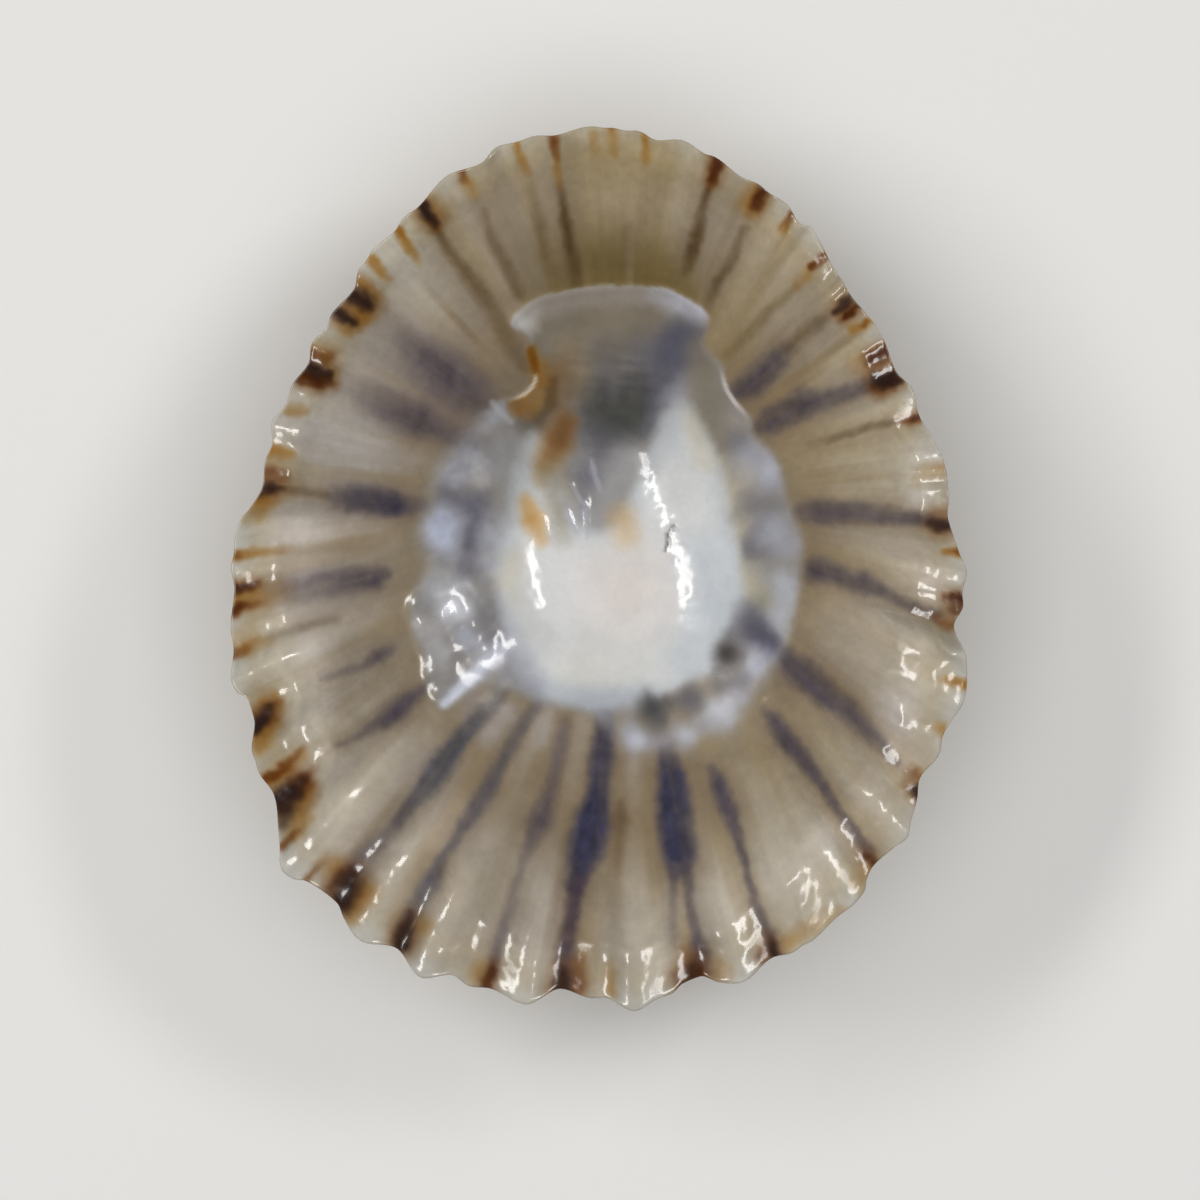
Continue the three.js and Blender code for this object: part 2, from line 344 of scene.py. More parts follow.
# Dark rays, from the inside out: (colour, softness, points).
RAYS = [
    # lower left, upper to lower
    (RAY, 0.7, [(389, 650, 5, 0.4), (377, 657, 6, 0.65), (366, 665, 4, 0.4), (322, 680, 3, 0.2)]),
    (RAY, 0.7, [(430, 683, 5, 0.4), (408, 701, 8, 0.7), (396, 711, 9, 0.85), (383, 721, 7, 0.65),
                (364, 733, 4, 0.45), (337, 746, 3, 0.25)]),
    ((64, 66, 77), 0.6, [(513, 671, 9, 0.45), (494, 700, 7, 0.5), (473, 725, 7, 0.65), (458, 742, 8, 0.72),
                     (442, 763, 11, 0.68), (429, 782, 10, 0.72), (412, 803, 7, 0.5), (396, 823, 5, 0.3)]),
    (RAY, 0.75, [(412, 803, 6, 0.4), (396, 823, 6, 0.45), (375, 844, 8, 0.55), (360, 862, 9, 0.6), (350, 880, 11, 0.7)]),
    ((76, 75, 88), 0.65, [(540, 700, 6, 0.35), (517, 735, 6, 0.5), (498, 767, 6, 0.6), (488, 788, 8, 0.72),
                 (477, 807, 8, 0.72), (460, 832, 5, 0.55), (444, 857, 5, 0.55), (433, 880, 8, 0.65),
                 (417, 905, 8, 0.5), (407, 930, 8, 0.55)]),
    # bottom
    (RAY, 0.7, [(568, 722, 5, 0.3), (556, 768, 6, 0.4), (547, 804, 8, 0.6), (539, 823, 10, 0.8),
                (532, 840, 7, 0.5), (522, 865, 4, 0.25), (509, 913, 6, 0.32), (497, 946, 6, 0.45),
                (490, 976, 5, 0.7)]),
    (BLUE_RAY, 0.5, [(604, 712, 8, 0.72), (604, 730, 9, 0.75), (602, 758, 11, 0.74), (599, 783, 9, 0.68),
                     (597, 804, 11, 0.9), (593, 823, 16, 1.0), (587, 842, 16, 0.9), (581, 865, 12, 0.8),
                     (574, 886, 8, 0.75)]),
    ((71, 59, 69), 0.6, [(577, 882, 8, 0.8), (574, 900, 7, 0.82), (570, 925, 7, 0.82), (567, 950, 8, 0.82), (565, 982, 9, 0.85)]),
    (BROWN_RAY, 0.8, [(622, 805, 5, 0.35), (622, 820, 7, 0.45), (621, 840, 5, 0.3), (618, 865, 4, 0.12)]),
    (BLUE_RAY, 0.45, [(667, 752, 8, 0.45), (671, 777, 12, 0.9), (673, 800, 14, 1.0), (675, 827, 15, 0.95),
                      (679, 852, 14, 0.9), (678, 868, 11, 0.5)]),
    (RAY, 0.6, [(672, 868, 4, 0.6), (673, 886, 4, 0.3), (673, 946, 4, 0.2)]),
    (RAY, 0.6, [(686, 868, 5, 0.65), (688, 898, 4, 0.45), (696, 930, 5, 0.5), (700, 953, 8, 0.8),
                (696, 968, 10, 0.7)]),
    (RAY, 0.6, [(712, 768, 5, 0.4), (719, 787, 8, 0.8), (729, 812, 8, 0.75), (738, 839, 5, 0.65),
                (748, 877, 3.5, 0.5), (757, 907, 5, 0.45), (769, 936, 6, 0.6)]),
    # lower right
    (RAY, 0.6, [(764, 709, 5, 0.25), (776, 723, 8, 0.7), (787, 740, 9, 0.85), (802, 759, 7, 0.75),
                (822, 786, 5, 0.7), (839, 812, 5, 0.6), (856, 836, 5, 0.6), (868, 851, 6, 0.7)]),
    (RAY, 0.6, [(747, 619, 14, 0.5), (762, 636, 11, 0.7), (779, 654, 9, 0.72), (802, 673, 13, 0.85),
                (822, 692, 11, 0.8), (843, 707, 9, 0.75), (862, 726, 8, 0.65), (879, 742, 7, 0.5),
                (896, 763, 4, 0.4)]),
    (RAY, 0.7, [(818, 570, 11, 0.75), (833, 573, 9, 0.65), (850, 580, 8, 0.6), (864, 583, 9, 0.72),
                (883, 594, 6, 0.6), (910, 606, 5, 0.5), (936, 616, 6, 0.55)]),
    # right and upper right
    (RAY, 0.6, [(801, 513, 8, 0.45), (818, 513, 11, 0.72), (843, 513, 10, 0.75), (871, 514, 8, 0.65),
                (900, 516, 7, 0.62), (925, 518, 6, 0.7), (938, 522, 6, 0.7)]),
    (RAY, 0.6, [(758, 427, 8, 0.5), (772, 421, 12, 0.8), (787, 413, 12, 0.75), (804, 403, 13, 0.8),
                (825, 401, 9, 0.65), (843, 395, 8, 0.62), (862, 387, 7, 0.6), (878, 382, 7, 0.6)]),
    (BROWN_RAY, 0.7, [(896, 422, 3, 0.4), (868, 427, 3, 0.4), (831, 439, 3.5, 0.35), (810, 446, 4, 0.15)]),
    (RAY, 0.6, [(739, 391, 9, 0.7), (753, 383, 12, 0.75), (764, 372, 11, 0.75), (776, 360, 10, 0.7),
                (786, 350, 7, 0.4)]),
    (BROWN_RAY, 0.8, [(788, 348, 6, 0.4), (802, 335, 6, 0.4), (822, 320, 6, 0.4)]),
    (OLIVE, 0.8, [(795, 286, 3.5, 0.4), (764, 316, 4.5, 0.4), (728, 356, 5, 0.4)]),
    # top
    (BROWN_RAY, 0.7, [(709, 190, 4, 0.65), (701, 214, 4, 0.5), (696, 238, 6, 0.75), (691, 258, 6, 0.65),
                      (686, 273, 4, 0.3)]),
    (BROWN_RAY, 0.8, [(745, 227, 4, 0.3), (732, 258, 5, 0.45), (720, 279, 5, 0.6), (712, 296, 5, 0.45),
                      (705, 312, 4, 0.2)]),
    (BROWN_RAY, 0.7, [(560, 183, 4, 0.25), (565, 212, 5, 0.65), (569, 239, 5, 0.75), (575, 269, 6, 0.65),
                      (577, 282, 5, 0.3)]),
    (BROWN_RAY, 0.8, [(530, 185, 4, 0.12), (540, 227, 5, 0.3), (546, 254, 5, 0.3)]),
    (BROWN_RAY, 0.8, [(628, 230, 5, 0.2), (626, 262, 6, 0.2)]),
    # upper left
    (BROWN_RAY, 0.9, [(483, 212, 4, 0.2), (493, 239, 5, 0.34), (506, 265, 6, 0.42), (518, 292, 6, 0.42)]),
    (BROWN_RAY, 0.85, [(434, 224, 5, 0.6), (439, 233, 4, 0.5), (452, 254, 4.5, 0.42), (464, 269, 6, 0.46),
                       (479, 290, 7, 0.44), (489, 306, 8, 0.4), (512, 346, 8, 0.36), (522, 366, 6, 0.3)]),
    (RAY, 0.85, [(405, 338, 10, 0.25), (429, 361, 17, 0.62), (448, 375, 19, 0.68), (467, 391, 17, 0.62),
                 (483, 407, 12, 0.4)]),
    (RAY, 0.85, [(370, 399, 13, 0.25), (398, 412, 14, 0.5), (420, 421, 13, 0.75), (437, 428, 10, 0.6),
                 (452, 436, 9, 0.4)]),
    # left
    (BROWN_RAY, 0.7, [(280, 490, 4, 0.35), (300, 492, 4, 0.3), (326, 495, 4, 0.3)]),
    (RAY, 0.5, [(340, 497, 11, 0.48), (352, 498, 13, 0.68), (372, 501, 13, 0.75), (395, 504, 11, 0.8),
                (408, 506, 9, 0.55), (421, 504, 7, 0.4)]), (BLUE_RAY, 0.8, [(350, 500, 8, 0.2), (372, 503, 9, 0.2), (396, 506, 8, 0.5)]),
    (BROWN_RAY, 0.9, [(268, 551, 5, 0.1), (337, 548, 5, 0.14), (385, 544, 5, 0.1)]),
    (RAY, 0.7, [(268, 589, 10, 0.25), (297, 587, 12, 0.38), (326, 583, 13, 0.5), (354, 580, 12, 0.65),
                (372, 578, 10, 0.72), (384, 573, 6, 0.5)]),
    (BROWN_RAY, 0.8, [(262, 641, 4, 0.15), (306, 627, 4, 0.3), (337, 619, 4, 0.2)]),
]

# Spots along the edge and their amber halos.
SPOTS = [
    # top, from right to left
    (AMBER, 0.8, [(752, 204, 12, 0.5)]), (BROWN, 0.5, [(762, 197, 6, 0.9), (757, 205, 6, 0.8)]),
    (RUST, 0.6, [(719, 160, 6, 0.5), (712, 184, 5, 0.5)]), (BROWN, 0.5, [(717, 163, 5.5, 0.95), (713, 179, 5, 0.85)]),
    (AMBER, 0.7, [(645, 139, 4, 0.75), (647, 160, 4.5, 0.5)]),
    (RUST, 0.6, [(612, 133, 3.5, 0.75)]), (AMBER, 0.8, [(612, 135, 5, 0.6), (613, 152, 6, 0.35)]),
    (AMBER, 0.8, [(594, 142, 5, 0.35), (595, 152, 5, 0.2)]),
    (RUST, 0.55, [(553, 140, 4, 0.8), (555, 147, 5, 0.95), (557, 158, 4, 0.6)]),
    (AMBER, 0.8, [(557, 160, 4, 0.6), (560, 185, 4, 0.4)]),
    (AMBER, 0.6, [(518, 147, 4, 0.85), (523, 162, 4, 0.6), (528, 175, 3.5, 0.3)]),
    (RUST, 0.6, [(464, 176, 3.5, 0.75), (466, 183, 4, 0.7)]), (AMBER, 0.9, [(470, 188, 6, 0.5), (476, 198, 5, 0.2)]),
    (AMBER, 0.8, [(436, 214, 11, 0.4)]), (SPOT, 0.5, [(425, 209, 5.5, 0.95), (429, 214, 6.5, 0.95), (434, 222, 5, 0.8)]),
    # upper left
    (RUST, 0.6, [(400, 233, 3.5, 0.75), (405, 241, 4, 0.6)]), (AMBER, 0.7, [(403, 237, 5, 0.85), (409, 247, 5, 0.8), (415, 256, 4.5, 0.6), (419, 264, 4, 0.2)]),
    (AMBER, 0.6, [(374, 263, 5, 0.75), (380, 271, 5, 0.7), (387, 279, 4.5, 0.5)]),
    (AMBER, 0.7, [(365, 290, 9, 0.7), (372, 299, 8, 0.6), (365, 313, 9, 0.7)]),
    (SPOT, 0.4, [(360, 300, 9, 0.95), (365, 303, 9, 0.95)]),
    (AMBER, 0.8, [(358, 324, 8, 0.6), (347, 330, 7, 0.4)]), (SPOT, 0.45, [(339, 314, 4.5, 0.95), (346, 318, 6, 0.95), (353, 323, 4.5, 0.9)]),
    (AMBER, 0.8, [(322, 356, 14, 0.5), (322, 372, 14, 0.5)]), (RUST, 0.6, [(316, 356, 6, 0.8), (328, 358, 6, 0.6)]),
    (BROWN, 0.55, [(303, 380, 5, 0.8), (318, 381, 6, 0.9), (329, 381, 5, 0.6)]), (SPOT, 0.45, [(309, 368, 5.5, 0.85), (319, 371, 7.5, 0.97), (329, 376, 5, 0.75)]),
    (AMBER, 0.7, [(296, 412, 5, 0.55), (304, 411, 5, 0.45)]),
    # left
    (AMBER, 0.7, [(277, 449, 6, 0.7), (290, 453, 5, 0.5)]), (AMBER, 0.9, [(276, 456, 11, 0.35)]),
    (RUST, 0.6, [(272, 474, 7, 0.85), (284, 477, 6, 0.6)]), (SPOT, 0.5, [(267, 493, 6, 0.9), (274, 489, 6, 0.95), (281, 489, 4, 0.6)]),
    (AMBER, 0.8, [(266, 502, 8, 0.7), (261, 515, 7, 0.5), (254, 520, 6, 0.3)]),
    (AMBER, 0.7, [(240, 555, 5.5, 0.85), (254, 553, 5, 0.75), (272, 551, 4.5, 0.4), (292, 550, 4, 0.15)]), (RUST, 0.7, [(244, 554, 3, 0.6)]),
    (AMBER, 0.9, [(246, 597, 14, 0.55), (262, 596, 13, 0.45), (282, 590, 11, 0.25)]), (BROWN, 0.5, [(241, 589, 5.5, 0.95), (249, 587, 5, 0.9), (258, 585, 4, 0.5)]),
    (RUST, 0.55, [(239, 612, 4.5, 0.95), (245, 607, 5.5, 0.9), (256, 604, 4.5, 0.5), (268, 602, 4, 0.2)]), (BROWN, 0.6, [(240, 610, 3.5, 0.7), (246, 606, 3.5, 0.5)]),
    (AMBER, 0.8, [(244, 640, 12, 0.3)]), (RUST, 0.6, [(238, 651, 4.5, 0.85), (248, 648, 4.5, 0.75)]), (AMBER, 0.8, [(252, 646, 7, 0.5), (270, 640, 5, 0.2)]),
    # lower left
    (AMBER, 0.8, [(273, 703, 8, 0.6), (268, 720, 9, 0.6), (265, 742, 8, 0.65)]),
    (BROWN, 0.8, [(274, 706, 6, 0.45), (268, 716, 9, 0.6)]), (SPOT, 0.5, [(271, 708, 4.5, 0.7), (266, 717, 6.5, 0.97), (262, 727, 5, 0.9)]),
    (AMBER, 0.8, [(276, 776, 8, 0.5), (300, 756, 7, 0.4)]), (RUST, 0.55, [(273, 776, 4.5, 0.9), (285, 766, 6, 0.85), (296, 755, 4, 0.5), (304, 746, 3, 0.2)]),
    (AMBER, 0.8, [(308, 792, 9, 0.6), (303, 815, 9, 0.65), (296, 832, 7, 0.6)]), (RUST, 0.8, [(304, 783, 9, 0.6)]),
    (BROWN, 0.8, [(303, 780, 9, 0.7), (312, 770, 5, 0.2)]), (SPOT, 0.5, [(281, 799, 8, 0.95), (292, 792, 11, 1.0), (302, 781, 6, 0.4)]), (SPOT, 0.6, [(289, 808, 7, 0.85), (287, 818, 5, 0.5)]),
    (RUST, 0.6, [(286, 842, 4, 0.9), (296, 831, 3.5, 0.7)]),
    (RUST, 0.7, [(312, 875, 4, 0.75), (317, 868, 4, 0.6), (326, 858, 4, 0.3)]), (AMBER, 0.9, [(332, 862, 9, 0.3)]),
    (AMBER, 0.8, [(366, 893, 11, 0.55), (357, 910, 9, 0.5)]), (BROWN, 0.7, [(342, 873, 6, 0.45), (335, 887, 5, 0.35)]),
    (SPOT, 0.5, [(354, 871, 6.5, 0.7), (349, 884, 11.5, 0.97), (347, 899, 9.5, 0.95)]),
    (AMBER, 0.9, [(422, 925, 9, 0.4)]), (SPOT, 0.5, [(411, 915, 5, 0.5), (405, 928, 7, 0.85), (403, 939, 7.5, 0.95)]),
    # bottom
    (AMBER, 0.9, [(480, 968, 8, 0.4)]), (BROWN, 0.5, [(492, 966, 4.5, 0.8), (488, 981, 5, 0.9)]),
    (RUST, 0.7, [(580, 962, 7, 0.55), (578, 978, 9, 0.75)]), (SPOT, 0.5, [(564, 972, 7, 0.75), (562, 984, 7, 0.85)]),
    (AMBER, 0.8, [(612, 985, 6, 0.5), (610, 965, 5, 0.2)]),
    (BROWN, 0.6, [(683, 975, 8, 0.6), (697, 968, 9, 0.75)]), (SPOT, 0.6, [(690, 967, 8, 0.65)]), (RUST, 0.8, [(682, 950, 4, 0.25), (682, 965, 5, 0.3)]),
    (AMBER, 0.9, [(722, 968, 9, 0.35)]), (SPOT, 0.5, [(770, 942, 6, 0.8), (774, 951, 5, 0.85)]), (BROWN, 0.6, [(760, 952, 5, 0.5)]),
    (AMBER, 0.8, [(785, 940, 7, 0.45), (838, 905, 6, 0.35)]),
    # lower right
    (BROWN, 0.6, [(866, 855, 5, 0.8), (871, 862, 4.5, 0.8)]), (AMBER, 0.8, [(856, 880, 7, 0.4), (862, 866, 6, 0.4)]),
    (RUST, 0.7, [(911, 770, 6, 0.6)]), (SPOT, 0.55, [(912, 785, 5, 0.85), (914, 791, 4, 0.8)]), (AMBER, 0.8, [(920, 775, 6, 0.5)]),
    (AMBER, 0.7, [(938, 727, 6, 0.55), (944, 738, 5, 0.35)]),
    (AMBER, 0.6, [(948, 679, 5, 0.7), (961, 682, 5, 0.9)]),
    (RUST, 0.7, [(936, 617, 5, 0.6), (946, 623, 6, 0.75)]), (BROWN, 0.55, [(949, 597, 5, 0.8), (957, 597, 5.5, 0.9), (951, 609, 5, 0.6)]),
    # right
    (AMBER, 0.6, [(943, 550, 4, 0.7), (953, 552, 5, 0.85)]), (RUST, 0.7, [(950, 551, 3, 0.6)]),
    (RUST, 0.8, [(938, 511, 7, 0.35)]), (SPOT, 0.6, [(931, 521, 5, 0.7), (940, 525, 6, 0.85)]),
    (AMBER, 0.9, [(936, 470, 8, 0.4), (918, 478, 8, 0.2)]),
    (RUST, 0.6, [(903, 420, 4.5, 0.7), (913, 420, 4.5, 0.9)]), (BROWN, 0.5, [(910, 420, 3.5, 0.8)]),
    # upper right
    (RUST, 0.7, [(880, 384, 11, 0.6), (888, 378, 10, 0.5)]), (SPOT, 0.45, [(877, 379, 7, 0.9), (885, 380, 8.5, 0.97), (893, 383, 5, 0.8)]),
    (RUST, 0.7, [(870, 359, 7, 0.7), (880, 355, 6, 0.7)]), (BROWN, 0.5, [(871, 359, 5, 0.9), (880, 354, 4.5, 0.9)]),
    (AMBER, 0.8, [(856, 364, 10, 0.3)]),
    (AMBER, 0.6, [(853, 330, 4.5, 0.7), (863, 325, 4, 0.85)]), (RUST, 0.7, [(860, 326, 3, 0.6)]),
    (RUST, 0.7, [(843, 312, 6, 0.3)]), (SPOT, 0.5, [(836, 311, 4, 0.85), (843, 305, 5.5, 0.92)]), (BROWN, 0.5, [(846, 316, 4, 0.9), (854, 310, 3.5, 0.8)]),
    (AMBER, 0.8, [(806, 275, 5, 0.5), (796, 285, 4.5, 0.3)]), (RUST, 0.5, [(811, 269, 4, 0.9), (821, 260, 4, 0.95)]),
    (RUST, 0.6, [(785, 228, 3.5, 0.7), (790, 220, 3.5, 0.8)]), (AMBER, 0.8, [(784, 230, 5.5, 0.5)]),
]

# Outlines inside the cup: the muscle scar with the head area, and the white callus.
SCAR = rounded([
    (722, 367), (729, 393), (748, 417), (754, 437), (776, 459), (788, 501), (799, 530), (801, 560), (798, 600),
    (789, 638), (774, 664), (764, 690), (748, 722), (722, 745), (690, 752), (655, 757), (632, 756), (612, 738),
    (588, 714), (560, 706), (536, 702), (510, 690), (476, 688), (443, 708), (431, 690), (420, 650), (410, 612),
    (417, 590), (428, 566), (420, 536), (428, 508), (434, 480), (450, 454), (470, 432), (494, 404), (511, 399),
    (523, 395), (533, 385), (536, 374), (531, 352), (527, 334), (509, 324), (527, 304), (550, 294), (587, 287),
    (614, 285), (649, 285), (669, 289), (689, 300), (706, 315), (706, 332), (703, 346), (712, 357),
])
CALLUS = rounded([
    (678, 410), (688, 408), (698, 424), (709, 448), (720, 480), (727, 520), (735, 560), (739, 600), (733, 632),
    (718, 660), (690, 679), (650, 697), (615, 703), (582, 702), (550, 693), (527, 677), (512, 650), (505, 618),
    (500, 585), (503, 550), (512, 515), (516, 480), (524, 450), (536, 438), (548, 452), (560, 490), (575, 525),
    (600, 535), (622, 520), (640, 488), (650, 458), (664, 426),
])
PIT = rounded([
    (602, 448), (628, 446), (639, 466), (650, 500), (661, 530), (671, 556), (677, 580), (680, 601), (664, 619),
    (632, 632), (588, 632), (564, 626), (548, 612), (541, 594), (537, 570), (535, 548), (541, 520), (552, 492), (574, 464),
])
NACRE = rounded([
    (412, 612), (428, 580), (460, 578), (492, 596), (508, 625), (508, 648), (476, 682), (443, 706), (430, 690),
    (420, 650),
])

# Fine raised lines and blisters inside: points, height in millimetres, half width.
FINE_RIDGES = [
    ([(566, 509), (571, 522), (575, 531)], 0.07, 6), ([(585, 500), (587, 520), (586, 537)], 0.06, 6),
    ([(591, 458), (594, 474), (600, 490)], 0.06, 6), ([(571, 484), (582, 503)], 0.06, 6), ([(578, 470), (582, 480)], 0.05, 5),
    ([(544, 520), (547, 536)], 0.05, 6), ([(421, 483), (422, 484)], 0.05, 5), ([(450, 470), (458, 466)], 0.06, 6),
    ([(474, 473), (480, 470)], 0.05, 5), ([(762, 696), (763, 697)], 0.04, 5), ([(455, 440), (462, 434)], 0.04, 5),
    ([(897, 648), (920, 657)], 0.025, 6), ([(900, 667), (921, 676)], 0.025, 6), ([(917, 588), (936, 590)], 0.02, 5),
]

# Where the inside is satin and not glossy.
SATIN = [
    (0.8, [(462, 706, 9, 1.0), (474, 694, 12, 1.0), (488, 683, 11, 1.0), (503, 671, 9, 0.9)]),
    (0.8, [(718, 692, 10, 0.9), (742, 678, 11, 0.9)]), (0.8, [(686, 613, 6, 0.7), (687, 621, 7, 0.9)]), (0.7, [(894, 406, 9, 1.0), (904, 400, 6, 0.9)]),
    (0.8, [(508, 966, 10, 0.6)]), (0.8, [(579, 953, 9, 0.7), (578, 985, 9, 0.7)]), (0.8, [(850, 876, 11, 0.5)]), (0.8, [(814, 912, 10, 0.6)]), (0.8, [(760, 948, 9, 0.6)]), (0.8, [(652, 984, 9, 0.5)]),
]

# Touches of colour inside the scar, in the order they lie on each other.
INSIDE = [
    # head area
    (GREY_TAN, 0.9, [(540, 325, 30, 0.9), (600, 318, 34, 0.9), (680, 325, 28, 0.8)]),
    (GREY_TAN, 0.9, [(560, 370, 30, 0.9), (600, 365, 30, 0.8), (570, 405, 22, 0.8)]),
    (LILAC, 0.9, [(520, 318, 13, 0.9), (545, 306, 12, 0.7), (590, 297, 10, 0.6), (640, 295, 10, 0.7)]),
    (WHITE, 0.95, [(524, 322, 13, 0.5), (530, 312, 9, 0.25)]),
    ((186, 186, 198), 0.9, [(655, 294, 9, 0.5), (678, 303, 13, 0.8), (697, 314, 11, 0.8)]),
    (DIM, 0.95, [(609, 358, 24, 0.45), (612, 400, 36, 0.8), (640, 380, 28, 0.6)]),
    ((152, 132, 102), 0.95, [(570, 352, 15, 0.5), (577, 372, 13, 0.5)]), ((134, 122, 104), 0.95, [(604, 322, 24, 0.35), (640, 318, 20, 0.25)]), ((132, 116, 92), 0.95, [(578, 388, 13, 0.6)]), (APEX, 0.8, [(601, 394, 17, 0.62), (606, 414, 22, 1.0), (611, 436, 20, 0.8)]),
    (APEX, 0.8, [(640, 384, 16, 0.75), (637, 405, 18, 0.95), (630, 426, 17, 0.8)]),
    (DIM, 0.95, [(600, 446, 20, 0.7), (592, 468, 20, 0.5)]),
    (APEX_BLUE, 0.95, [(650, 350, 18, 0.4), (684, 342, 18, 0.8)]), (APEX_BLUE, 0.9, [(681, 346, 19, 0.9), (670, 368, 18, 0.8), (655, 402, 11, 0.6), (650, 430, 9, 0.4)]), (SILVER, 0.95, [(676, 396, 13, 0.55), (682, 384, 8, 0.25)]),
    (APEX_BLUE, 0.9, [(588, 480, 16, 0.4), (586, 500, 13, 0.25)]),
    (GREY, 0.95, [(622, 456, 15, 0.7), (618, 482, 18, 0.75), (606, 516, 22, 0.9)]),
    # right side of the scar
    (GREY_TAN, 0.9, [(700, 350, 14, 0.7), (708, 390, 16, 0.75), (716, 425, 16, 0.7), (726, 452, 14, 0.5)]),
    (LILAC, 0.9, [(738, 418, 12, 0.4), (752, 432, 10, 0.5)]), (DIM, 0.95, [(738, 442, 11, 0.55)]),
    (SILVER, 0.9, [(752, 462, 18, 0.7), (768, 472, 16, 0.95)]), (WHITE, 0.95, [(769, 471, 9, 0.25)]),
    (CREAM, 0.95, [(718, 468, 12, 0.5), (728, 500, 12, 0.65), (742, 478, 14, 0.35), (738, 575, 16, 0.5)]),
    (DIM, 0.95, [(752, 505, 14, 0.55), (770, 508, 12, 0.4), (750, 548, 10, 0.8), (775, 548, 12, 0.3)]),
    (SILVER, 0.9, [(773, 533, 17, 0.75), (785, 545, 12, 0.55)]), ((178, 181, 188), 0.9, [(784, 585, 13, 0.9), (778, 622, 14, 0.75)]),
    (CREAM, 0.95, [(748, 590, 14, 0.45)]),
    ((150, 145, 120), 0.9, [(758, 600, 13, 0.6)]),
    # lower right and below
    (DIM, 0.9, [(745, 618, 16, 0.85), (756, 632, 14, 0.8), (770, 648, 11, 0.75)]), (BLUE_RAY, 0.95, [(746, 622, 12, 0.5), (758, 634, 13, 0.7), (772, 648, 9, 0.6)]),
    (GOLD, 0.95, [(706, 746, 14, 0.6), (762, 706, 16, 0.6)]), (DIM, 0.95, [(655, 737, 10, 0.5), (672, 690, 10, 0.3)]),
    (SILVER, 0.95, [(757, 666, 18, 0.95), (742, 690, 12, 0.4)]), (SILVER, 0.95, [(738, 698, 14, 0.7), (722, 713, 20, 0.95)]),
    (SILVER, 0.95, [(698, 730, 11, 0.5), (686, 738, 15, 0.9)]), (SILVER, 0.95, [(662, 744, 8, 0.4), (636, 743, 13, 0.95)]), (SILVER, 0.95, [(630, 714, 8, 0.35), (633, 740, 9, 0.7)]),
    (WHITE, 0.95, [(722, 712, 13, 0.45)]), (WHITE, 0.95, [(637, 743, 8, 0.3)]), (WHITE, 0.95, [(687, 736, 9, 0.25)]),
    # left side
    (SILVER, 0.9, [(466, 444, 16, 0.55), (478, 428, 9, 0.3), (500, 412, 8, 0.6)]), (RAY, 0.95, [(440, 430, 12, 0.5), (462, 439, 12, 0.3), (482, 444, 10, 0.12)]),
    (SILVER, 0.95, [(450, 470, 16, 0.7), (478, 470, 14, 0.75)]), (CREAM, 0.95, [(478, 474, 12, 0.2)]),
    ((102, 101, 116), 0.95, [(448, 500, 14, 0.5), (476, 508, 14, 0.85), (470, 545, 12, 0.7), (466, 572, 10, 0.55)]),
    (SILVER, 0.85, [(441, 528, 20, 1.0), (446, 552, 13, 0.7)]), ((194, 202, 226), 0.95, [(441, 529, 16, 0.75)]), (SILVER, 0.9, [(498, 520, 11, 0.4), (492, 540, 14, 0.75)]),
    (GREY, 0.9, [(500, 450, 14, 0.7), (505, 470, 14, 0.6)]),
    ((92, 82, 72), 0.9, [(527, 424, 11, 0.6), (540, 426, 10, 0.4)]),
    # wrinkled patch; its palest strokes are partly painted highlights on the nacre ridges, partly the nacre's silvery
    # colour
    (GREY, 0.9, [(440, 600, 20, 0.7), (470, 610, 24, 0.8)]), ((190, 191, 198), 0.95, [(438, 588, 14, 0.6), (457, 588, 12, 0.6)]), ((186, 184, 184), 0.95, [(418, 624, 7, 0.6), (450, 626, 9, 0.5)]), (SILVER, 0.95, [(490, 568, 11, 0.6)]), (DIM, 0.95, [(470, 620, 20, 0.3), (495, 620, 14, 0.5), (455, 660, 14, 0.12), (488, 642, 14, 0.4)]), ((178, 176, 178), 0.9, [(434, 636, 9, 0.7), (440, 652, 9, 0.85), (444, 668, 8, 0.6)]),
    # partly painted highlight: pale strokes where the nacre ridges catch the light, partly silvery nacre
    ((204, 206, 214), 0.9, [(450, 608, 12, 0.9), (462, 612, 10, 0.8)]), (SILVER, 0.9, [(466, 638, 10, 0.8), (486, 648, 8, 0.4)]),
    (BLUE_WHITE, 0.9, [(478, 656, 7, 0.4), (494, 650, 6, 0.35)]),
    (SILVER, 0.8, [(442, 704, 6, 0.8), (472, 678, 8, 0.9), (505, 648, 10, 0.8)]),
    # amber stains by the left notch
    (AMBER, 0.8, [(531, 400, 16, 0.75), (545, 390, 10, 0.5), (520, 408, 9, 0.8)]), (TOFFEE, 0.7, [(514, 404, 6, 0.6), (528, 412, 8, 0.5)]),
    (TOFFEE, 0.95, [(556, 375, 14, 0.5), (556, 400, 12, 0.45)]), (BROWN_RAY, 0.9, [(552, 382, 6, 0.6), (551, 405, 6, 0.55), (540, 420, 7, 0.5)]),
]
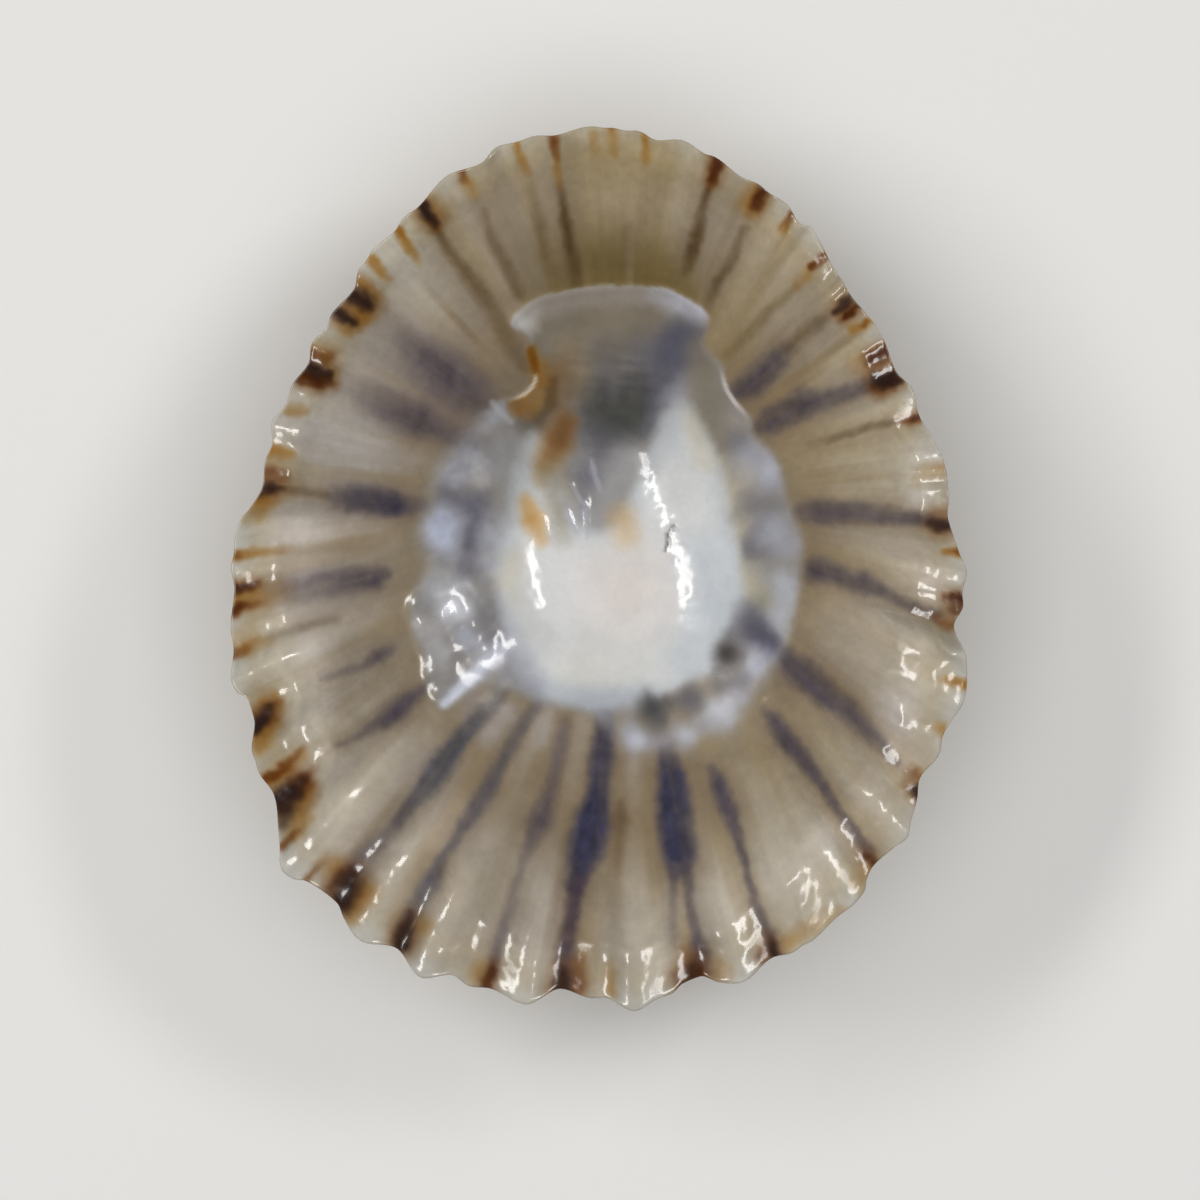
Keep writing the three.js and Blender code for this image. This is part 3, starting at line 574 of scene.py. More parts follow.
# On and around the white callus.
ON_CALLUS = [
    (BLUE_WHITE, 0.95, [(705, 560, 26, 0.7), (712, 610, 28, 0.8), (690, 655, 24, 0.6)]),
    (PINKISH, 0.95, [(628, 588, 44, 0.75)]),
    (CREAM, 0.95, [(585, 672, 26, 0.16), (640, 668, 26, 0.06)]),
    ((212, 204, 184), 0.95, [(507, 580, 12, 0.6), (514, 560, 10, 0.5), (516, 600, 9, 0.3)]),
    (CREAM, 0.95, [(690, 420, 10, 0.4), (706, 462, 10, 0.4)]),
    (BLUE_WHITE, 0.95, [(672, 424, 12, 0.5), (668, 446, 14, 0.4)]),
    (GREY, 0.95, [(524, 462, 16, 0.45), (520, 486, 14, 0.22), (510, 512, 10, 0.2)]),
    ((164, 122, 66), 0.9, [(562, 424, 11, 0.6), (556, 442, 15, 0.8), (547, 463, 12, 0.85), (541, 478, 8, 0.4)]),
    ((118, 82, 46), 0.95, [(566, 422, 10, 0.85), (560, 438, 12, 0.9), (554, 453, 8, 0.5)]),
    ((142, 150, 164), 0.95, [(548, 690, 12, 0.25), (580, 698, 13, 0.42), (610, 700, 13, 0.48), (645, 696, 12, 0.3)]), ((136, 126, 106), 0.95, [(553, 472, 14, 0.6), (559, 496, 15, 0.65), (561, 520, 12, 0.55), (563, 536, 11, 0.35)]), ((136, 138, 152), 0.95, [(505, 638, 15, 0.4), (520, 661, 16, 0.45), (531, 683, 14, 0.5)]), (GREY, 0.95, [(648, 466, 12, 0.4)]),
    (ORANGE, 0.85, [(526, 502, 8, 0.7), (532, 519, 11, 0.95), (540, 539, 8, 0.6)]),
    (ORANGE, 0.95, [(622, 518, 13, 0.5), (627, 535, 13, 0.4)]),
]
# Small dark, rusty and pale marks that lie over everything else. The pale strokes on the pit's wrinkles are painted
# highlights; the pale band on the nacre ridge is partly painted highlight, partly silvery nacre.
MARKS_AND_PAINTED_GLINTS = [
    # painted highlights along the fine wrinkles in the pit
    (SILVER, 0.8, [(566, 509, 2.2, 0.6), (571, 522, 2.6, 0.7), (575, 531, 2, 0.5)]), (SILVER, 0.8, [(585, 500, 1.8, 0.5), (587, 520, 2.2, 0.55), (586, 537, 2, 0.4)]),
    (SILVER, 0.8, [(591, 458, 1.8, 0.5), (594, 474, 2.2, 0.55), (600, 490, 2, 0.4)]), (SILVER, 0.8, [(571, 484, 1.8, 0.5), (582, 503, 2, 0.55)]),
    (SILVER, 0.9, [(560, 495, 6, 0.3), (580, 515, 8, 0.3)]),
    ((66, 60, 58), 0.95, [(731, 638, 9, 0.5), (728, 655, 13, 1.0), (722, 668, 9, 0.5)]), ((72, 72, 74), 0.95, [(655, 708, 15, 0.95), (664, 703, 9, 0.5)]), (DIM, 0.95, [(689, 700, 12, 0.9)]), (DIM, 0.95, [(723, 682, 11, 0.65), (741, 679, 10, 0.5)]), ((84, 80, 86), 0.95, [(741, 608, 9, 0.35), (743, 624, 12, 0.6)]),
    (AMBER, 0.9, [(532, 352, 6, 0.5), (537, 366, 9, 0.7), (541, 380, 8, 0.6)]),
    # pale band on the nacre ridge: partly painted highlight, partly silvery nacre
    ((208, 213, 224), 0.8, [(443, 704, 4.5, 0.85), (470, 681, 4.5, 0.85), (503, 647, 3, 0.6)]),
    ((206, 211, 222), 0.8, [(452, 691, 2.2, 0.5), (478, 664, 2.5, 0.6), (497, 645, 2, 0.5)]),
    ((96, 93, 96), 0.6, [(672, 527, 1.5, 0.6), (667, 536, 1.6, 0.8), (668, 545, 1.6, 0.8), (665, 551, 1.4, 0.5)]),
    ((118, 72, 18), 0.7, [(530, 350, 4, 0.8), (532, 360, 5, 0.95), (535, 371, 4, 0.7)]),
]
# Broad lighter and darker places of the plain wall. The pale washes on the lip at (894,714), (922,455), (668,962),
# (307,655), (937,588), (832,838), (545,962) and (742,912) are painted highlights where glints fall.
WASHES_AND_PAINTED_GLINTS = [
    (LILAC, 0.95, [(850, 640, 30, 0.5), (890, 660, 24, 0.3)]),
    # painted highlights: the pale lip washes listed above stand in for glints
    ((198, 191, 185), 0.95, [(894, 714, 22, 0.55), (890, 736, 18, 0.45), (903, 760, 18, 0.45)]), ((198, 194, 186), 0.95, [(922, 455, 17, 0.5), (921, 500, 14, 0.65)]),
    ((198, 190, 175), 0.95, [(668, 962, 15, 0.65)]), ((202, 192, 181), 0.95, [(307, 655, 22, 0.6), (310, 684, 20, 0.55), (312, 714, 20, 0.65)]), ((200, 186, 174), 0.95, [(330, 766, 14, 0.6)]),
    ((200, 190, 181), 0.95, [(937, 588, 14, 0.55)]), ((206, 199, 190), 0.95, [(832, 838, 17, 0.55)]), ((202, 192, 178), 0.95, [(545, 962, 15, 0.6)]),
    ((170, 165, 169), 0.95, [(506, 713, 12, 0.6), (489, 734, 11, 0.5)]), ((172, 167, 164), 0.95, [(545, 722, 10, 0.45), (541, 738, 10, 0.45)]),
    ((152, 146, 152), 0.95, [(474, 700, 10, 0.5), (468, 716, 9, 0.4)]), ((200, 186, 160), 0.95, [(455, 874, 13, 0.5), (454, 896, 14, 0.6)]), ((206, 198, 187), 0.95, [(742, 912, 14, 0.5)]),
    ((192, 181, 169), 0.95, [(402, 842, 12, 0.55)]), ((164, 142, 102), 0.95, [(257, 624, 12, 0.6), (276, 624, 10, 0.4)]),
    ((122, 112, 116), 0.95, [(402, 346, 24, 0.3), (440, 372, 30, 0.45), (472, 400, 24, 0.4)]), ((112, 104, 110), 0.95, [(378, 402, 22, 0.28), (420, 420, 24, 0.4), (456, 438, 18, 0.35)]),
    ((190, 181, 166), 0.95, [(545, 895, 16, 0.5), (540, 925, 14, 0.4)]), ((134, 120, 118), 0.95, [(563, 733, 8, 0.55), (558, 765, 7, 0.4)]),
    ((202, 191, 181), 0.95, [(300, 538, 25, 0.7), (305, 562, 23, 0.75)]), ((196, 193, 184), 0.95, [(318, 425, 34, 0.6), (348, 445, 34, 0.65)]),
    ((176, 167, 158), 0.9, [(547, 712, 8, 0.55), (532, 745, 9, 0.4), (512, 778, 8, 0.2)]), ((176, 167, 158), 0.9, [(584, 722, 8, 0.55), (577, 760, 8, 0.4), (570, 795, 7, 0.2)]), ((176, 167, 158), 0.9, [(633, 764, 8, 0.45), (636, 800, 9, 0.2)]), ((176, 167, 158), 0.9, [(505, 712, 7, 0.35), (484, 740, 7, 0.25)]),
    ((178, 168, 150), 0.95, [(418, 758, 22, 0.6), (400, 780, 18, 0.5)]), ((190, 176, 158), 0.95, [(456, 812, 16, 0.55), (442, 840, 18, 0.75)]),
    (PALE, 0.95, [(850, 476, 22, 0.35), (890, 472, 20, 0.35)]), ((176, 156, 114), 0.95, [(600, 160, 24, 0.4), (660, 165, 24, 0.4)]), ((112, 104, 92), 0.95, [(949, 646, 12, 0.2)]),
    (LILAC, 0.95, [(330, 440, 50, 0.35), (380, 380, 34, 0.35), (400, 330, 26, 0.3)]), (PALE, 0.95, [(270, 637, 18, 0.85), (340, 800, 18, 0.45)]),
    (LILAC, 0.95, [(420, 760, 26, 0.4), (452, 830, 24, 0.4), (540, 870, 20, 0.2)]),
    (GOLD, 0.95, [(480, 250, 40, 0.3), (540, 200, 40, 0.3), (640, 180, 50, 0.3)]),
    ((204, 198, 180), 0.95, [(402, 262, 26, 0.75), (424, 286, 24, 0.4)]), ((190, 181, 166), 0.95, [(880, 820, 26, 0.5), (640, 925, 20, 0.35), (720, 905, 20, 0.35)]),
]


# Plain horn from the scar out to the lip.
WALL_TONE = [
    Monotone([(0, v[0]), (0.5, v[0]), (0.64, v[1]), (0.76, v[2]), (0.87, v[3]), (0.95, v[4]), (1.01, v[5])])
    for v in ((133, 142, 157, 169, 166, 176), (119, 128, 146, 158, 153, 169), (96, 105, 126, 141, 128, 155))
]


def mix(under, over, mask):
    return under + (np.array(over, float) - under) * mask[:, None]


def sheen_lines(x, y, about, t):
    return 0.6 * streak(about, t, 300, 5, 3) + 0.4 * streak(about, t, 720, 9, 4)


def crispness(x, y):
    """Where the scar's edge is sharp: round the head and at the two notches."""
    sharp = ease(400, 340, y) + bell(np.hypot(x - 736, y - 395), 0, 26) + bell(np.hypot(x - 525, y - 388), 0, 26)
    return np.clip(sharp, 0, 1) * (1 - 0.95 * bell(np.hypot(x - 712, y - 346), 0, 20))


def paint_inside(x, y, about, t, rib):
    """Colours of the inside, drawn at sheet places x and y."""
    wx = x + 2.2 * cloud(x / 26, y / 26, 11) + 1.0 * noise(x / 6, y / 6, 12)
    wy = y + 2.2 * cloud(x / 26, y / 26, 13) + 1.0 * noise(x / 6, y / 6, 14)
    grain = sheen_lines(x, y, about, t)
    a = np.radians(about)

    # horn-coloured wall: greyer up and left, golden below and right, olive at the head
    c = np.stack([f(t) for f in WALL_TONE], 1)
    left = ease(-0.2, 0.9, np.cos(a - math.radians(158)))
    below = ease(-0.1, 0.9, np.cos(a - math.radians(285)))
    head = ease(0.86, 0.99, np.cos(a - math.radians(92)))
    up = ease(-0.2, 0.9, np.cos(a - math.radians(75)))
    c = mix(c, LILAC, 0.55 * left * ease(0.5, 0.7, t) * (1 - ease(0.86, 0.95, t)))
    c = mix(c, GOLD, 0.12 * below * (1 - ease(0.7, 0.95, t)))
    c = mix(c, GOLD, 0.45 * up * ease(0.5, 0.6, t))
    lobe = lobes(about)
    # lobes lighter and furrows darker: partly painted shade of the flutes, partly their own paler and golden colour
    c = c * (1 + 0.075 * np.clip(lobe, -1, 1) * ease(0.5, 0.75, t))[:, None]
    c = mix(c, PALE, 0.45 * ease(-0.1, 0.8, lobe) * ease(0.66, 0.93, t))
    c = mix(c, GOLD, 0.3 * ease(0.1, 0.9, -lobe) * ease(0.6, 0.9, t))
    c = mix(c, (138, 108, 64), 0.4 * ease(0.45, 1.1, -lobe) * ease(0.75, 0.95, t))
    c = mix(c, OLIVE, 0.85 * head * ease(0.44, 0.6, t) * (1 - ease(0.66, 0.84, t)))
    c = mix(c, LIP, (0.15 + 0.6 * ease(-0.3, 0.9, lobe)) * ease(0.92, 0.99, t))
    furrow = streak(about, t, 130, 1.6, 27)
    wallish = ease(0.56, 0.7, t) * (1 - 0.7 * ease(0.92, 1, t))
    c = mix(c, (118, 96, 64), 0.42 * ease(0.5, 0.95, furrow) * wallish)
    c = mix(c, (184, 176, 160), 0.32 * ease(0.5, 0.95, -furrow) * wallish)
    for colour, soft, points in WASHES_AND_PAINTED_GLINTS:
        c = mix(c, colour, brush(wx, wy, points, soft))
    # painted light: the left and right walls are made lighter to make up for the shade they get under the scene's lamps
    sides = np.cos(a) ** 2 * ease(0.5, 0.66, t) * (1 - ease(0.86, 0.95, t))
    c = c * (1 + 0.075 * sides)[:, None] * np.array((1.012, 1.018, 1.035))
    blotch = cloud(x / 60, y / 60, 21)
    c = c * (1 + 0.035 * blotch + 0.022 * grain + 0.03 * cloud(x / 7, y / 7, 23, 2) + 0.012 * noise(x / 3, y / 3, 22))[:, None]

    drift = streak(about, t, 64, 2.4, 24) + 0.5 * streak(about, t, 130, 4, 25)
    c = mix(c, GOLD, 0.3 * ease(0.1, 0.9, drift) * ease(0.5, 0.62, t) * (1 - 0.6 * ease(0.9, 1, t)))
    c = mix(c, LILAC, 0.3 * ease(0.1, 0.9, -drift) * ease(0.5, 0.62, t) * (1 - 0.6 * ease(0.9, 1, t)))
    for colour, soft, points in RAYS:
        c = mix(c, (106, 87, 70), brush(wx, wy, [(px, py, 1.9 * w + 3, 0.38 * o) for px, py, w, o in points], 0.95))
    ray_grain = 1 + 0.36 * grain + 0.16 * cloud(x / 9, y / 9, 31)
    ray_shade = (1 + 0.14 * grain + 0.2 * cloud(x / 9, y / 13, 32))[:, None]
    for colour, soft, points in RAYS:
        c = mix(c, np.array(colour) * ray_shade, np.clip(brush(wx, wy, [(px, py, 1.06 * w, o) for px, py, w, o in points], min(soft + 0.14, 0.95)) * ray_grain, 0, 1))
    reach = 7 * ease(0.93, 1, t)
    sx = wx + 1.3 * noise(x / 7, y / 7, 15) - reach * np.cos(a)
    sy = wy + 1.3 * noise(x / 7, y / 7, 16) + reach * np.sin(a)
    for colour, soft, points in SPOTS:
        if colour in (SPOT, BROWN):
            ring = brush(sx, sy, [(px, py, 1.45 * w + 2, 0.62 * o) for px, py, w, o in points], 0.95)
            c = mix(c, RUST, np.clip(ring * (1 + 0.3 * grain), 0, 1))
    for colour, soft, points in SPOTS:
        c = mix(c, colour, np.clip(brush(sx, sy, points, min(soft + 0.25, 0.95)) * (1.0 + 0.25 * grain), 0, 1))

    # muscle scar and head area
    scar = inside_of(wx, wy, SCAR)
    crisp = crispness(x, y)
    loose = ease(640, 690, y) * ease(590, 640, x)
    blurred = ease(525, 480, x) * ease(404, 424, y) * (1 - ease(560, 600, y))
    feather = 7 - 5 * crisp + 11 * loose + 9 * blurred
    d = inside_of(wx, wy, CALLUS)
    in_scar = ease(-1, 1, scar / feather)
    c = mix(c, GREY, in_scar * (0.8 - 0.6 * loose))
    layer = c.copy()
    for colour, soft, points in INSIDE:
        layer = mix(layer, colour, brush(wx, wy, points, soft) * (1 + 0.15 * cloud(x / 8, y / 8, 41)))
    layer = layer * (1 + 0.11 * blurred * cloud(x / 13, y / 13, 44))[:, None]
    fold = bell(np.hypot((x - 612) / 62, (y - 385) / 60), 0, 1)
    layer = layer * (1 + 0.06 * fold * noise((x + 0.12 * y) / 11, y / 30, 42) + 0.07 * fold * noise((x + 0.2 * y) / 26, (y - 0.1 * x) / 5, 43))[:, None]
    c = c + (layer - c) * in_scar[:, None]
    # callus, bluish where it thins out
    thin = ease(-14, 22, d)
    c = mix(c, BLUE_WHITE, ease(-13, 7, d) * (0.35 + 0.55 * ease(395, 470, y)))
    c = mix(c, WHITE, thin)
    layer = c.copy()
    for colour, soft, points in ON_CALLUS:
        layer = mix(layer, colour, brush(wx, wy, points, soft))
    for colour, soft, points in MARKS_AND_PAINTED_GLINTS:
        layer = mix(layer, colour, brush(wx, wy, points, soft))
    c = layer * (1 + 0.02 * cloud(x / 40, y / 40, 51) + 0.012 * noise(x / 4, y / 4, 52))[:, None]

    # bright edges of the two notches: pale rim lines, partly painted highlight on the sharp rims, partly their own
    # paler colour
    notch, along = off_line(x, y, rounded([(536, 372), (535, 381), (531, 388), (523, 395), (511, 400)], closed=False))
    c = mix(c, (214, 204, 186), 0.75 * (1 - ease(0.5, 3.0, notch)) * ease(0, 0.2, along) * (1 - 0.8 * ease(0.75, 1, along)))
    arc, along = off_line(x, y, rounded([(721, 366), (725, 385), (734, 401), (748, 417)], closed=False))
    c = mix(c, (206, 200, 196), 0.75 * (1 - ease(0.8, 3.6, arc)) * ease(0, 0.35, along) * (1 - ease(0.7, 1, along) * 0.8))
    flank, _ = off_line(x, y, [(492, 402), (500, 412), (511, 422)])
    c = mix(c, (196, 198, 204), 0.35 * (1 - ease(1, 5, flank)))
    return c, in_scar, ease(-8, 10, d)


def hollow(z, x, y):
    """The flat-bottomed hollow in the middle of the cup, with straight sides."""
    d = inside_of(x, y, PIT) * SHEET_MM
    bottom = 1.36 + 0.15 * (np.clip(y, 450, 615) - 520) * SHEET_MM
    side = bottom + 0.63 * 0.4 * np.log1p(np.exp(np.clip(-d / 0.4, -40, 40)))
    return side + (z - side) * ease(-0.4, -4.6, d)


def relief_inside(x, y, about, t):
    """Height of the inside over the plain cup, in millimetres."""
    scar = inside_of(x, y, SCAR)
    crisp = crispness(x, y)
    loose = ease(640, 690, y)
    h = 0.07 * (1 - 0.85 * loose) * ease(-1, 1, scar / (9 - 5.5 * crisp + 8 * loose))
    h = h + 0.05 * crisp * bell(scar, 4, 5)
    pad = inside_of(x, y, CALLUS)
    h = h + 0.03 * ease(-20, 20, pad)
    h = h + 0.18 * ease(610, 646, y) * ease(640, 560, x) * ease(-14, 32, pad)
    h = h - 0.12 * ease(596, 640, y) * ease(640, 700, x) * ease(-26, 26, pad)
    h = h + 0.15 * bell(np.hypot((x - 478) / 26, (y - 618) / 32), 0, 1)
    # glassy wrinkles on the left, in ridges that run up to the right
    patch = ease(-8, 10, inside_of(x, y, NACRE))
    u, v = 0.66 * x + 0.75 * y, 0.75 * x - 0.66 * y
    h = h + patch * (0.055 * cloud(u / 17, v / 44, 61, 2) + 0.04 * cloud(x / 15, y / 15, 62, 2))
    ridge, along = off_line(x, y, rounded([(442, 707), (458, 691), (480, 670), (506, 646)], closed=False))
    h = h + (0.05 + 0.02 * noise(along * 6, along * 0, 60)) * (1 - ease(0, 19, ridge)) * (1 - 0.8 * ease(0.7, 0.95, along))
    ridge, along = off_line(x, y, rounded([(419, 606), (429, 636), (438, 658), (438, 674), (442, 685)], closed=False))
    h = h + (0.1 + 0.04 * noise(along * 7, along * 0, 63)) * (1 - ease(2, 20, ridge))
    # fine wrinkles in the pit and a rough streak on its right wall
    pit = bell(np.hypot((x - 585) / 32, (y - 498) / 34), 0, 1)
    h = h + 0.05 * pit * cloud((x - 0.25 * y) / 11, (y + 0.5 * x) / 24, 64, 2)
    for points, high, half in FINE_RIDGES:
        line, _ = off_line(x, y, points)
        h = h + high * (1 - ease(0, half, line))
    wall_line, along = off_line(x, y, [(644, 470), (660, 508), (676, 545), (684, 600)])
    h = h + 0.022 * (1 - ease(4, 18, wall_line)) * cloud(x / 9, y / 7, 65, 2)
    wall_line, along = off_line(x, y, [(530, 545), (534, 575), (545, 610)])
    h = h + 0.016 * (1 - ease(4, 18, wall_line)) * cloud(x / 7, y / 11, 76, 2)
    crack, _ = off_line(x, y, [(672, 527), (667, 536), (668, 545), (665, 551)])
    h = h - 0.04 * (1 - ease(0.8, 2.4, crack))
    # gentle unevenness, fine flutes by the edge, and growth ridges
    sway = bell(about, 335, 22)
    about = about + 2.2 * sway * cloud(x / 17, y / 17, 91, 2)
    t = t + 0.016 * sway * cloud(x / 15, y / 15, 92, 2)
    h = h + 0.035 * cloud(x / 75, y / 75, 66, 2) * ease(0.3, 0.6, t)
    h = h + (0.008 * streak(about, t, 420, 7, 78) + 0.009 * cloud(x / 6, y / 6, 79, 2)) * ease(0.76, 0.86, t)
    flutes = streak(about, t, 150, 3, 67)
    h = h + 0.012 * flutes * ease(0.78, 0.96, t) + 0.006 * flutes * ease(0.55, 0.75, t)
    calm = 1 - 0.85 * bell(about, 189, 9)
    h = h + calm * (0.028 * cloud(x / 20, y / 20, 68, 2) + 0.016 * cloud(x / 9, y / 9, 74, 2)) * ease(0.76, 0.9, t)
    # close-set ribs at the edge on the right, weaker elsewhere
    close = 0.01 + 0.035 * ease(0.5, 0.95, np.cos(np.radians(about - 18))) + 0.05 * bell(about, 44, 22)
    close = close * (0.35 + 0.95 * ease(-0.3, 0.6, streak(about, 0 * t, 70, 1, 77))) * (1 - 0.9 * bell(about, 24.5, 3)) * calm
    h = h + close * streak(about, t, 200, 2, 70) * ease(0.86, 0.94, t)
    low = 0.45 + 0.55 * ease(-0.35, 0.5, np.cos(np.radians(about - 285)))
    for at, high, wide, seed in ((0.872, 0.03, 0.012, 71), (0.925, 0.028, 0.01, 72), (0.81, 0.025, 0.014, 73)):
        wave = at + 0.012 * streak(about, 0 * t, 40, 1, seed)
        h = h + low * high * (0.55 + 0.75 * streak(about, 0 * t, 64, 1, seed + 5)) * bell(t, wave, wide)
    return h


def inner(deg, t):
    x, y, about, rib = plan(deg, t, ease(0.55, 0.985, t))
    lobe = lobes(about)
    rx, ry = rim(deg)
    extra = shoulder(about) + 0.11 * streak(about, 0 * t, 44, 1, 69) + 0.08 * streak(about, 0 * t, 110, 1, 75) + 0.08 * lobe
    steep = skin(t) + wall(t) + extra * ease(0.5, 0.88, t)
    flat = LIP_TOP - LIP_SLOPE * (1 - t) * np.hypot(rx - FLOOR[0], ry - FLOOR[1])
    bend = 0.07 + 0.07 * ease(0.5, 0.95, np.cos(np.radians(about - 22))) + 0.06 * bell(about, 220, 22) + 0.05 * bell(about, 209, 5)
    bend = bend + 0.09 * bell(about, 320, 6) + 0.03 * bell(about, 314, 16) - 0.045 * bell(about, 190, 7)
    z = np.minimum(steep, flat) - bend * np.log1p(np.exp(-np.abs(steep - flat) / bend))
    flute = 0.07 * ease(0.45, 0.75, t) + 0.23 * ease(0.68, 0.88, t) - 0.06 * ease(0.9, 1, t)
    z = z - flute * np.clip(lobe, -1.3, 1.15)
    px, py = on_sheet(x, y, z)
    z = hollow(z, px, py)
    px, py = on_sheet(x, y, z)
    z = z + relief_inside(px, py, about, t)
    px, py = on_sheet(x, y, z)
    return x, y, z, about, rib, px, py


def outer(deg, t):
    x, y, about, rib = plan(deg, t)
    base = np.maximum(0, skin(t))
    z = base - RIB_OUT * ease(0.22, 1, t) * rib
    threads = streak(about, t, 190, 2.2, 81)
    z = z - ease(FLAT_EDGE + 0.02, 0.5, t) * (0.075 * threads + 0.03 * streak(about, t, 420, 4, 82))
    # growth lines: low steps that follow the edge
    g = t + 0.006 * streak(about, t, 60, 4, 83)
    step = np.zeros_like(t)
    for at, high in ((0.34, 0.05), (0.43, 0.06), (0.5, 0.04), (0.57, 0.08), (0.63, 0.04), (0.69, 0.06), (0.745, 0.05),
                     (0.79, 0.09), (0.835, 0.05), (0.875, 0.06), (0.91, 0.07), (0.94, 0.05), (0.966, 0.06)):
        s = (g - at) / 0.02
        step = step + high * np.where(s < 0, np.exp(-((s / 1.6) ** 2)), np.exp(-((s / 0.35) ** 2)))
    z = z - step * ease(0.2, 0.4, t) * (0.75 + 0.5 * streak(about, t, 90, 2, 84))
    z = z - 0.03 * cloud(x * 1.7, y * 1.7, 85, 3) * ease(FLAT_EDGE, 0.32, t)
    pits = np.clip(cloud(x * 1.3 + 40, y * 1.3, 86, 2) - 0.25, 0, 1)
    z = z + 0.12 * pits * ease(FLAT_EDGE, 0.24, t) * (1 - ease(0.35, 0.6, t))
    z = np.where(t <= FLAT_EDGE + 1e-6, 0, np.maximum(z, 0.0005))
    return x, y, z, about, rib


# Rays as they show outside: angle, half width in degrees, strength.
OUTER_RAYS = [
    (4.5, 1.4, 0.4), (16, 1.3, 0.6), (25, 2.8, 0.95), (29.6, 1.2, 0.7), (41.5, 2.6, 0.95), (51, 1.2, 0.6), (59.5, 1.0, 0.5),
    (66, 1.6, 0.8), (75, 1.6, 0.85), (86.5, 1.0, 0.4), (92, 1.0, 0.45), (101.5, 1.5, 0.8), (107, 1.0, 0.5), (116.5, 1.2, 0.6),
    (124.7, 1.8, 0.9), (130.3, 1.0, 0.5), (136.7, 1.0, 0.5), (143.5, 2.6, 0.95), (147.2, 1.3, 0.8), (156.5, 2.6, 0.9),
    (164.5, 0.9, 0.4), (171.5, 1.1, 0.45), (178.5, 2.4, 0.95), (188.5, 1.1, 0.5), (194.8, 2.2, 0.85), (201.3, 1.2, 0.6),
    (211.3, 1.7, 0.9), (218, 1.1, 0.7), (221.5, 2.0, 0.95), (229.5, 1.0, 0.5), (234.3, 2.3, 0.97), (243.3, 1.9, 0.9),
    (254, 1.3, 0.8), (263, 2.2, 0.95), (269, 1.0, 0.45), (278, 2.6, 0.97), (288, 1.5, 0.85), (303.5, 1.6, 0.9),
    (316, 1.9, 0.92), (323, 0.9, 0.35), (331, 1.0, 0.4), (339.5, 2.2, 0.92), (344, 1.0, 0.6), (350.5, 1.0, 0.5), (356.5, 2.0, 0.92),
]


def paint_outside(x, y, about, t, rib):
    buff, cream, moss, umber, chalk = (176, 156, 118), (200, 187, 156), (122, 113, 84), (62, 44, 34), (204, 196, 180)
    threads = streak(about, t, 190, 2.2, 81)
    c = np.zeros((len(x), 3)) + np.array(buff, float)
    c = mix(c, cream, 0.6 * ease(-0.2, 0.8, rib) * ease(0.35, 0.8, t))
    c = mix(c, moss, 0.5 * ease(0.0, 0.7, cloud(x * 0.35 + 9, y * 0.35, 91)) * ease(0.25, 0.5, t))
    c = mix(c, moss, 0.35 * ease(0.1, 0.9, -threads) * ease(0.25, 0.5, t))
    g = t + 0.006 * streak(about, t, 60, 4, 83)
    band = 0.5 + 0.5 * noise(g * 34, 0 * g, 92)
    c = c * (0.93 + 0.12 * band)[:, None]
    broken = 0.72 + 0.5 * streak(about, g, 120, 16, 93) + 0.25 * noise(g * 30, about / 30, 94)
    for at, half, strength in OUTER_RAYS:
        off = np.abs((about - at + 180) % 360 - 180) + 0.35 * streak(about, t, 240, 14, 95)
        wide = half * (0.75 + 0.35 * t)
        m = strength * (1 - ease(wide * 0.55, wide * 1.25, off)) * ease(0.24, 0.4, t)
        c = mix(c, umber, np.clip(m * broken * (0.55 + 0.45 * ease(0.3, 0.75, t)), 0, 0.96))
        halo = strength * (1 - ease(wide, wide * 2.0, off)) * ease(0.3, 0.6, t)
        c = mix(c, (138, 98, 50), 0.32 * np.clip(halo, 0, 1))
    worn = 1 - ease(0.2, 0.4, t + 0.05 * cloud(x * 0.9, y * 0.9, 96))
    c = mix(c, (166, 132, 84), 0.7 * (1 - ease(0.3, 0.5, t + 0.05 * cloud(x * 0.7, y * 0.7, 97))))
    c = mix(c, chalk, 0.85 * worn)
    c = mix(c, (150, 128, 92), 0.4 * worn * ease(0.15, 0.6, cloud(x * 0.8 + 5, y * 0.8, 98)))
    pits = np.clip(cloud(x * 1.3 + 40, y * 1.3, 86, 2) - 0.25, 0, 1) * (1 - ease(0.35, 0.6, t))
    c = mix(c, (92, 78, 58), np.clip(1.8 * pits, 0, 0.7))
    return c * (1 + 0.05 * cloud(x * 2.2, y * 2.2, 99) + 0.05 * threads)[:, None]


# ---- the mesh ----------------------------------------------------------------
def disc(rings, spread, reach):
    """Ring points as (angle, t), and the triangles between them, seen from above."""
    deg, t, first = [np.zeros(1)], [np.zeros(1)], [0]
    for j in range(1, rings + 1):
        first.append(1 + 3 * j * (j - 1))
        u = j / rings
        deg.append(360 * np.arange(6 * j) / (6 * j))
        t.append(np.full(6 * j, reach * ((1 + spread) * u - spread * u * u)))
    faces = []
    for j in range(1, rings + 1):
        out_n, in_n = 6 * j, max(6 * (j - 1), 1)
        for s in range(6):
            i = np.arange(j)
            a, b = first[j] + s * j + i, first[j] + (s * j + i + 1) % out_n
            c = first[j - 1] + (s * (j - 1) + i) % in_n
            faces.append(np.stack([a, b, c], 1))
            if j > 1:
                i = np.arange(j - 1)
                a = first[j] + (s * j + i + 1) % out_n
                b = first[j - 1] + (s * (j - 1) + i + 1) % in_n
                c = first[j - 1] + (s * (j - 1) + i) % in_n
                faces.append(np.stack([a, b, c], 1))
    return np.concatenate(deg), np.concatenate(t), np.concatenate(faces), first[rings]


